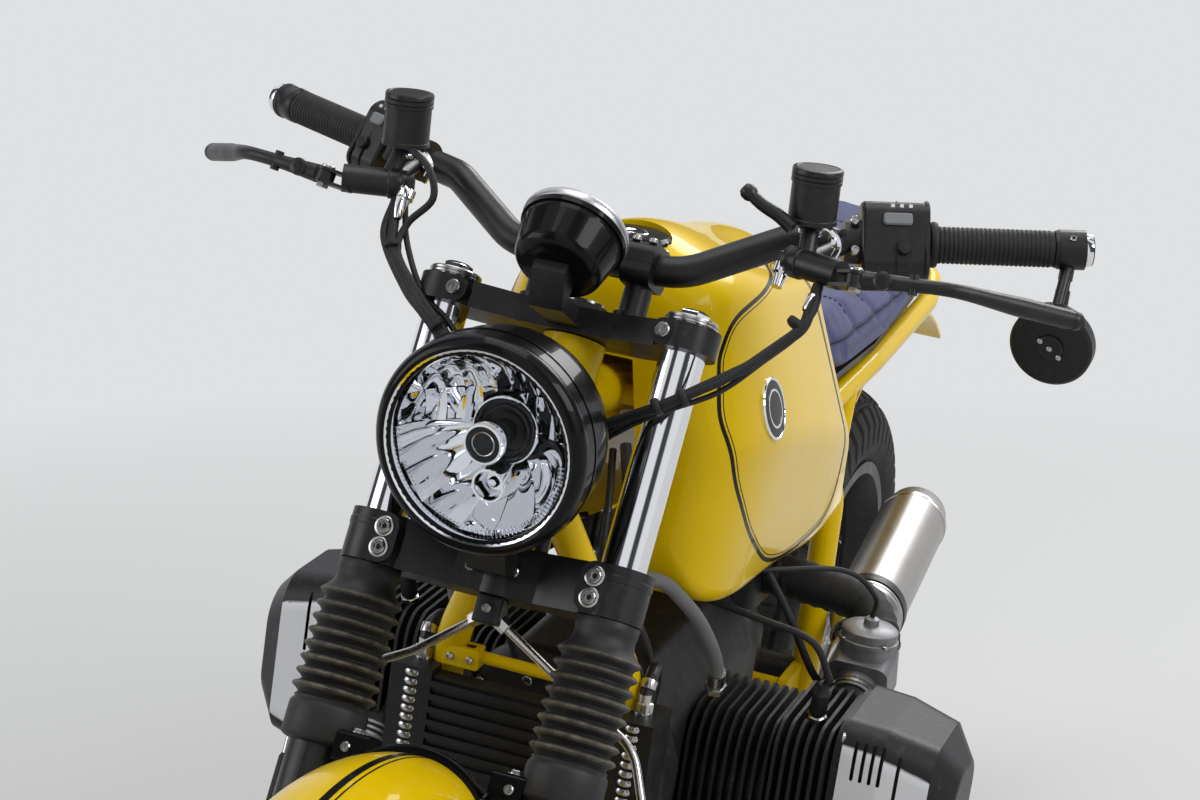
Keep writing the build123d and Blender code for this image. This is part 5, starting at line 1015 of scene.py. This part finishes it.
# Engine: cover bolts, filler, plugs and leads, exhaust rings, nuts of the rocker covers, carburettors
CRANK_X, CRANK_Z, STAGGER, PORT_Y = 806, 463, 20, 232
PORT_WAY, INTAKE_WAY = Vector((0.84, 0, -0.54)), Vector((-0.92, 0, 0.39))
CORNERS = ((-70, -86), (70, -86), (-70, 86), (70, 86))
engine = Piece("engine_details")
for side in SIDES:
    outward = (0, side, 0)
    for across, height in ((94, 352), (101, 420), (104, 488), (78, 561), (30, 574)):
        engine.bolt(stand(BIKE, (1013.8, side * across, height), AHEAD), 5, 3.6)
    for index in range(6):
        engine.nut(stand(BIKE, (690 + index * 46, side * 88, 301), outward), 5, 3.6)
    for index in range(4):
        engine.bolt(stand(BIKE, (650, side * 96, 400 + index * 36), outward), 4.6, 3)
    barrel_x = CRANK_X + side * STAGGER
    engine.turn(stand(BIKE, (barrel_x, side * 377.6, CRANK_Z), outward),
                [(12, 0), (12, 1), (8.6, 1.2, 6), (8.6, 4.4, 6), (6, 6), (0, 6.4)], steel)
    for across, height in CORNERS:
        engine.turn(stand(BIKE, (barrel_x + across * 0.98, side * 262, CRANK_Z + height), outward),
                    [(5.4, 0), (5.4, 3)], steel, 20)
    # plug, cap and lead
    plug = stand(BIKE, (barrel_x + 38, side * 226, 549), (0.3, side * 0.1, 1))
    engine.turn(plug, [(8, -8, 6), (9, -2, 6), (9, 6, 6), (6, 8), (5, 14)], steel, 24)
    engine.turn(plug, [(6, 8), (8.5, 9), (9, 12), (8.6, 30), (9.4, 31), (9.4, 35), (7, 38), (5, 46), (0, 47)],
                black_rubber, 28)
    engine.bend([plug @ Vector((0, 0, 40))] + flowing(BIKE, ((barrel_x + 54, side * 236, 600),
                                                             (barrel_x + 70, side * 214, 640),
                                                             (900, side * 150, 652), (890, side * 80, 660),
                                                             (880, side * 40, 690)), 10), 3.6, black_rubber)
    # clamped ring on the exhaust port
    engine.turn(stand(BIKE, (barrel_x + 98.3, side * PORT_Y, 395.4), PORT_WAY, LEFT),
                [(27, -22), (34, -21), (34, -18), (29, -17), (29, -14.5), (34, -14), (34, -11), (29, -10),
                 (29, -7.5), (34, -7), (34, -3.6), (31, -2), (19.4, -1.4)], cast_alloy, 40)
    # carburettor: domed cap, clamps, drain screws, cable and fuel hose
    throat = Vector((barrel_x - 98.1, side * PORT_Y, 523.4))
    for place in (6, 12, 74, 80):
        engine.turn(stand(BIKE, throat + INTAKE_WAY * place, INTAKE_WAY, LEFT),
                    [(25, -2.4), (26.4, -2), (26.4, 2), (25, 2.4)], steel)
    x, y = (throat + INTAKE_WAY * 42).xy
    engine.turn(stand(BIKE, (x, y, 577)), [(29, 0), (31.4, 1), (31.4, 5), (29.6, 6), (29.6, 15), (26, 18),
                                           (12, 20), (8, 20), (8, 26), (5, 28), (0, 28)], cast_alloy, 40)
    for index, (across, along) in enumerate(((-20, 22), (20, 22), (-20, -22), (20, -22))):
        engine.bolt(stand(BIKE, Vector((x, y, 582)) + polar(30.6, pi / 4 + pi / 2 * index)), 3.4, 3)
        engine.bolt(stand(BIKE, (x + across, y + along, 474), DOWN), 3.4, 2.4)
    engine.turn(stand(BIKE, (x, y, 474), DOWN), [(9, 0, 6), (9, 6, 6), (6, 8), (0, 8)], steel, 24)
    engine.bend(flowing(BIKE, ((x, y, 604), (x + 6, y, 630), (x + 50, side * 200, 664),
                               (820, side * 110, 668), (860, side * 40, 700)), 10), 2.8, black_rubber)
    engine.bend(flowing(BIKE, ((x + 4, side * 206, 520), (x + 10, side * 184, 530), (x + 20, side * 150, 590),
                               (700, side * 110, 640), (700, side * 92, 676)), 10), 4.2, black_rubber)
    # ribbed intake hose to the airbox
    mouth = throat + INTAKE_WAY * 84
    hose = flowing(BIKE, (mouth, mouth + INTAKE_WAY * 18, (barrel_x - 222, side * 205, 586),
                          (596, side * 140, 592), (592, side * 92, 592)), 9)
    engine.bend(hose, [22 + 1.6 * (place % 2) for place in range(len(hose))], black_rubber, 28)
engine.turn(stand(BIKE, (700, 103.6, 446), LEFT), [(17, 0), (17, 2), (14, 3), (14, 12), (12, 14), (4, 14)],
            cast_alloy, 32)
engine.press(stand(BIKE, (700, 117, 446), LEFT), rounded(22, 5, 2), 0, 7, cast_alloy, 0.8)
engine.done()


# Exhaust pipes: straight runs joined by arcs, tinted by heat near the ports
def routed(points, radii, steps=14):
    corners = [Vector(point) for point in points]
    line = [corners[0]]
    for radius, last, corner, following in zip(radii, corners, corners[1:], corners[2:]):
        before, after = (last - corner).normalized(), (following - corner).normalized()
        half = before.angle(after) / 2
        centre = corner + (before + after).normalized() * radius / sin(half)
        start, end = (corner + way * radius / tan(half) - centre for way in (before, after))
        axis = start.cross(end).normalized()
        line += [centre + Matrix.Rotation(start.angle(end) * step / steps, 3, axis) @ start
                 for step in range(steps + 1)]
    return [BIKE @ point for point in line + [corners[-1]]]


MUFFLER_FRONT, MUFFLER_REAR = Vector((486, 178, 500)), Vector((135, 161, 548))
header_pipes = Piece("header_pipes")
for side, rest, radii in ((1, [(912, 226, 262), (800, 196, 242), (590, 176, 290),
                               MUFFLER_FRONT + (MUFFLER_FRONT - MUFFLER_REAR).normalized() * 50,
                               MUFFLER_FRONT], (44, 60, 160, 80, 40)),
                          (-1, [(878, -226, 262), (800, -200, 240), (600, -160, 262), (540, -60, 262),
                                (556, 160, 292)], (44, 60, 150, 60, 60))):
    port = Vector((CRANK_X + side * STAGGER + 46, side * PORT_Y, CRANK_Z - 34)) + PORT_WAY * 62.3
    header_pipes.bend(routed([port, port + PORT_WAY * 62] + rest, radii), 19, pipe_steel, 40)
header_pipes.bend(routed(((556, 128, 288), (556, 146, 290.5)), ()), 21.5, pipe_steel, 32)
header_pipes.done(("exhaust_pipes",), "steel", 60)

# Silencer: clamp, straps, rolled end and baffle
way = MUFFLER_REAR - MUFFLER_FRONT
silencer, end = stand(BIKE, MUFFLER_FRONT, way, LEFT), way.length
muffler = Piece("muffler_details")
for profile, material, count in (([(21, -8), (23.4, -7.4), (23.4, 0), (27, 0.2), (27.6, 2), (27.6, 5)], steel,
                                  48), ([(41, 66), (41.8, 66.6), (41.8, 70), (41, 70.6)], steel, 64),
                                 ([(41, end - 34), (41.9, end - 33), (41.9, end - 27), (41, end - 26)], steel,
                                  64), ([(36.4, end - 1), (35.4, end + 0.6), (25, end + 0.6),
                                         (24.2, end - 1)], steel, 64), ([(23.9, end - 50), (20, end - 52),
                                                                         (9, end - 52), (9, end - 20),
                                                                         (7.6, end - 20), (7.6, end - 52),
                                                                         (0, end - 52)], satin_black, 40),
                                 ([(41.1, 72), (43, 73), (43, 87), (41.1, 88)], satin_black, 64)):
    muffler.turn(silencer, profile, material, count)
strap = stand(BIKE, MUFFLER_FRONT + way.normalized() * 80, (0, -1, 0.1))
muffler.press(strap, rounded(15, 24, 4), 38, 52, satin_black, 1)
muffler.done()

# Footrest rubbers and plates' bolts, pedals and the tail light
FOOTREST_X, FOOTREST_Z = 484, 318
rests = Piece("footrest_rubbers")
for side in SIDES:
    outward = (0, side, 0)
    rest = stand(BIKE, (FOOTREST_X, side * 160, FOOTREST_Z), outward)
    for start in range(6, 84, 6):
        rests.press(rest, rounded(31.6, 27.6, 8.6), start, start + 3.4, black_rubber, 0.5)
    rests.nut(stand(BIKE, (FOOTREST_X, side * 250, FOOTREST_Z), outward), 7, 3)
    for across, height in ((-24, -24), (24, -24), (-24, 24), (24, 24)):
        rests.bolt(stand(BIKE, (FOOTREST_X + across, side * 145.8, FOOTREST_Z + height), outward), 4.4, 4)
    pedal = stand(BIKE, (722, side * 147.5, 325), outward)
    for start in range(22, 62, 5):
        rests.turn(pedal, [(9, start), (10.4, start + 0.6), (10.4, start + 3), (9, start + 3.6)],
                   black_rubber, 24)
rests.done()
lens = stand(BIKE, (-143.5, 0, 800), BACK, LEFT)
tail = Piece("tail_light_details").press(lens, rounded(99, 37, 15.4), 0, 10, gloss_black, 1.4)
for across in range(-35, 36, 7):
    tail.press(stand(lens, (across, 0, 0)), rounded(1.8, 23, 0.8, 3), 23, 24.4, red_lens, 0.4)
tail.done()

# Rear shock absorber: damper, collars, eyes and a coiled spring
SHOCK_LOW, SHOCK_HIGH, COILS, COIL_STEPS = Vector((150, -147, 386)), Vector((281, -147, 736)), 8, 32
strut = (SHOCK_HIGH - SHOCK_LOW).length
damper, cover = stand(BIKE, SHOCK_LOW, SHOCK_HIGH - SHOCK_LOW, LEFT), strut * 0.56
shock = Piece("shock_spring")
shock.turn(damper, [(9, 10), (16, 15), (17, 18), (17, 40), (32, 42), (33, 44), (33, 48), (31, 50), (17, 50.6),
                    (17, cover), (16, cover + 1), (7, cover + 1), (7, strut - 52), (22, strut - 51),
                    (33, strut - 50), (33, strut - 44), (30, strut - 42), (18, strut - 40), (14, strut - 14),
                    (9, strut - 10)], satin_black, 48)
for place in (0, strut):
    for inner, outer, half, material in ((6.4, 9, 13, steel), (9, 15, 11, satin_black)):
        shock.turn(stand(damper, (-half, 0, place), AHEAD, LEFT),
                   [(inner, 0), (outer, 0), (outer, 2 * half), (inner, 2 * half), (inner, 0)], material, 32)
coil = [damper @ polar(26.8, tau * step / COIL_STEPS, 55 + (strut - 110) * step / (COILS * COIL_STEPS))
        for step in range(COILS * COIL_STEPS + 1)]
shock.bend(coil, 5, steel, 10)
shock.done(("rear_shock",), "black_metal")

# Seat: stuffed cloth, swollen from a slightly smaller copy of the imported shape, with welt and channels
CHANNELS = (452, 364, 276, 188, 100, 12)
SHRUNK, FURTHEST, PROUD = 0.0035, 0.009, 0.0015
CLOTH_FRAMES = 20


def applied(obj):
    """The object's mesh as its modifiers leave it."""
    made = bpy.data.meshes.new_from_object(obj.evaluated_get(bpy.context.evaluated_depsgraph_get()))
    obj.modifiers.clear()
    obj.data = made
    return made


seat = added("seat_cushion", nodes["seat"].data.copy())
seat.matrix_world = nodes["seat"].matrix_world.copy()
remesh = seat.modifiers.new("remesh", "REMESH")
remesh.mode, remesh.voxel_size = "VOXEL", 0.006
softened = seat.modifiers.new("softened", "SMOOTH")
softened.factor, softened.iterations = 0.6, 40
mesh = applied(seat)
upward = chassis.col[2].to_3d()
packed_points = [vertex.co.copy() for vertex in mesh.vertices]
normals = [vertex.normal.copy() for vertex in mesh.vertices]
for vertex, normal in zip(mesh.vertices, normals):
    vertex.co -= normal * SHRUNK
pinned = seat.vertex_groups.new(name="pinned")
pinned.add([index for index, normal in enumerate(normals) if normal.dot(upward) < -0.6], 1, "REPLACE")
cloth_pass = seat.modifiers.new("cloth", "CLOTH")
cloth_pass.settings.use_pressure = True
cloth_pass.settings.uniform_pressure_force = 4
cloth_pass.settings.effector_weights.gravity = 0
cloth_pass.settings.vertex_group_mass = "pinned"
cloth_pass.point_cache.frame_start, cloth_pass.point_cache.frame_end = 1, CLOTH_FRAMES
for step in range(1, CLOTH_FRAMES + 1):
    bpy.context.scene.frame_set(step)
small = [vertex.co.copy() for vertex in mesh.vertices]
mesh = applied(seat)
for vertex, near in zip(mesh.vertices, small):
    moved = vertex.co - near
    if moved.length > FURTHEST:
        vertex.co = near + moved.normalized() * FURTHEST
bpy.context.scene.frame_set(1)
inverse = BIKE.inverted()
for vertex, normal, packed in zip(mesh.vertices, normals, packed_points):
    place, lift = inverse @ packed, normal.dot(upward)
    if lift > -0.3:
        pull = max(exp(-((place.x - channel) / 9) ** 2) for channel in CHANNELS) * max(0, lift)
        welt = exp(-((place.z - 812 - 0.02 * place.x) / 6) ** 2) * (1 - abs(lift))
        vertex.co -= normal * (0.0055 * pull + 0.002 * welt)
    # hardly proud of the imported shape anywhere
    vertex.co -= normal * max(0, (vertex.co - packed).dot(normal) - PROUD)
seat.modifiers.new("smooth", "SUBSURF").levels = 1
mesh = applied(seat)
mesh.materials.clear()
mesh.materials.append(seat_cloth)
mesh.shade_smooth()
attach(seat, "frame")
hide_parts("seat")
cushion_skin = skin_of(mesh)
seams = Piece("seat_seams")
for side in SIDES:
    line = []
    for x in (528 - 630 * step / 80 for step in range(81)):
        start = BIKE @ Vector((x, side * 170, 818))
        hit = cushion_skin.ray_cast(start, (BIKE @ Vector((x, 0, 818)) - start).normalized())[0]
        if hit is not None:
            line.append(hit)
    seams.bend(line, 2.2, seam_thread, 10)
for channel in CHANNELS:
    for y in range(-78, 79, 6):
        hit, normal = cushion_skin.ray_cast(BIKE @ Vector((channel, y, 960)), -upward)[:2]
        if hit is None or normal.dot(upward) < 0.2:
            continue
        following = cushion_skin.ray_cast(BIKE @ Vector((channel, y + 3.4, 960)), -upward)[0]
        if following is not None:
            seams.bend([hit + normal * 0.0003, (hit + following) / 2 + normal * 0.0011,
                        following + normal * 0.0003], 0.7, seam_thread, 6)
seams.done()


# Camera, floor and light

def looking(place, aim):
    """Placed at place, looking at aim."""
    return Matrix.Translation(place) @ (Vector(aim) - Vector(place)).to_track_quat("-Z",
                                                                                   "Y").to_matrix().to_4x4()


# the photograph's viewing angle
CAMERA_PLACE, CAMERA_AIM, CAMERA_ROLL = (2.99732, 0.90082, 1.56393), (0.36674, 0.02706,
                                                                      0.88490), radians(0.12)
camera = added("camera", bpy.data.cameras.new("camera"))
camera.data.lens, camera.data.sensor_width = 94.93, 36
camera.matrix_world = looking(CAMERA_PLACE, CAMERA_AIM) @ Matrix.Rotation(-CAMERA_ROLL, 4, "Z")
bpy.context.scene.camera = camera

# the floor fades to one pale tone away from the machine, as the camera and mirrors see it
FLOOR_HALF = 40
floor = added("floor", bpy.data.meshes.new("floor"))
floor.data.from_pydata([(x * FLOOR_HALF, y * FLOOR_HALF, 0) for x, y in ((-1, -1), (1, -1), (1, 1), (-1, 1))],
                       [], [(0, 1, 2, 3)])
paper = Material("floor_paint", (0.56, 0.56, 0.55, 1), 0.9)
ground = paper.node("NewGeometry").outputs["Position"]
away = paper.node("VectorMath", {0: ground}, operation="LENGTH").outputs["Value"]
rays = paper.node("LightPath").outputs
seen = paper.value("MAXIMUM", paper.value("MAXIMUM", rays["Is Camera Ray"], rays["Is Glossy Ray"]),
                   rays["Is Transmission Ray"])
pale = paper.node("Emission", {"Color": (0.74, 0.75, 0.76, 1)}).outputs[0]
surface = paper.tree.nodes["Material Output"].inputs["Surface"]
blend = paper.node("MixShader", {0: paper.value("MULTIPLY", seen, paper.ramp(away, 1.1, 3.4)),
                                 1: paper.shader.outputs[0], 2: pale})
paper.tree.links.new(blend.outputs[0], surface)
floor.data.materials.append(paper.data)

# plain studio walls with dark gaps, as bright metal sees them; one pale tone as the camera sees them
world = bpy.data.worlds.new("studio")
bpy.context.scene.world = world
world.use_nodes = True
walls = world.node_tree
sky = walls.nodes["Background"].inputs
sky["Color"].default_value = (0.94, 0.96, 1.0, 1)
way = add_node(walls, "SeparateXYZ", {0: add_node(walls, "TexCoord").outputs["Generated"]}).outputs
heading = add_node(walls, "Math", {0: way[1], 1: way[0]}, operation="ARCTAN2").outputs[0]
turned = add_node(walls, "Math", {0: heading, 1: 5.0, 2: 0.6}, operation="MULTIPLY_ADD").outputs[0]
swing = add_node(walls, "Math", {0: turned}, operation="SINE").outputs[0]
stripes = add_node(walls, "MapRange", {0: swing, 1: -0.75, 2: -0.1, 3: 0.06, 4: 0.9},
                   interpolation_type="SMOOTHSTEP")
rays = add_node(walls, "LightPath").outputs
strength = 0.4
for ray, light in (("Is Glossy Ray", stripes.outputs[0]), ("Is Transmission Ray", 0.75),
                   ("Is Camera Ray", 0.75)):
    pick = add_node(walls, "Mix", {"Factor": rays[ray], "A": strength, "B": light}, data_type="FLOAT")
    strength = pick.outputs["Result"]
walls.links.new(strength, sky["Strength"])

for name, place, aim, width, height, power in (("key", (0.9, 3.2, 2.9), (0.3, 0, 0.7), 2.6, 1.6, 80),
                                               ("fill", (2.2, -3.4, 2.2), (0.2, 0, 0.7), 2.4, 2.0, 40),
                                               ("back", (-3.2, 0.8, 3.0), (0, 0, 0.7), 2.6, 1.4, 80),
                                               ("top", (0.2, 0, 4.2), (0.2, 0, 0), 3.0, 2.0, 50)):
    softbox = bpy.data.lights.new(name, "AREA")
    softbox.shape, softbox.size, softbox.size_y, softbox.energy = "RECTANGLE", width, height, power
    added(name, softbox).matrix_world = looking(place, aim)

bpy.context.scene.view_settings.view_transform = "Standard"
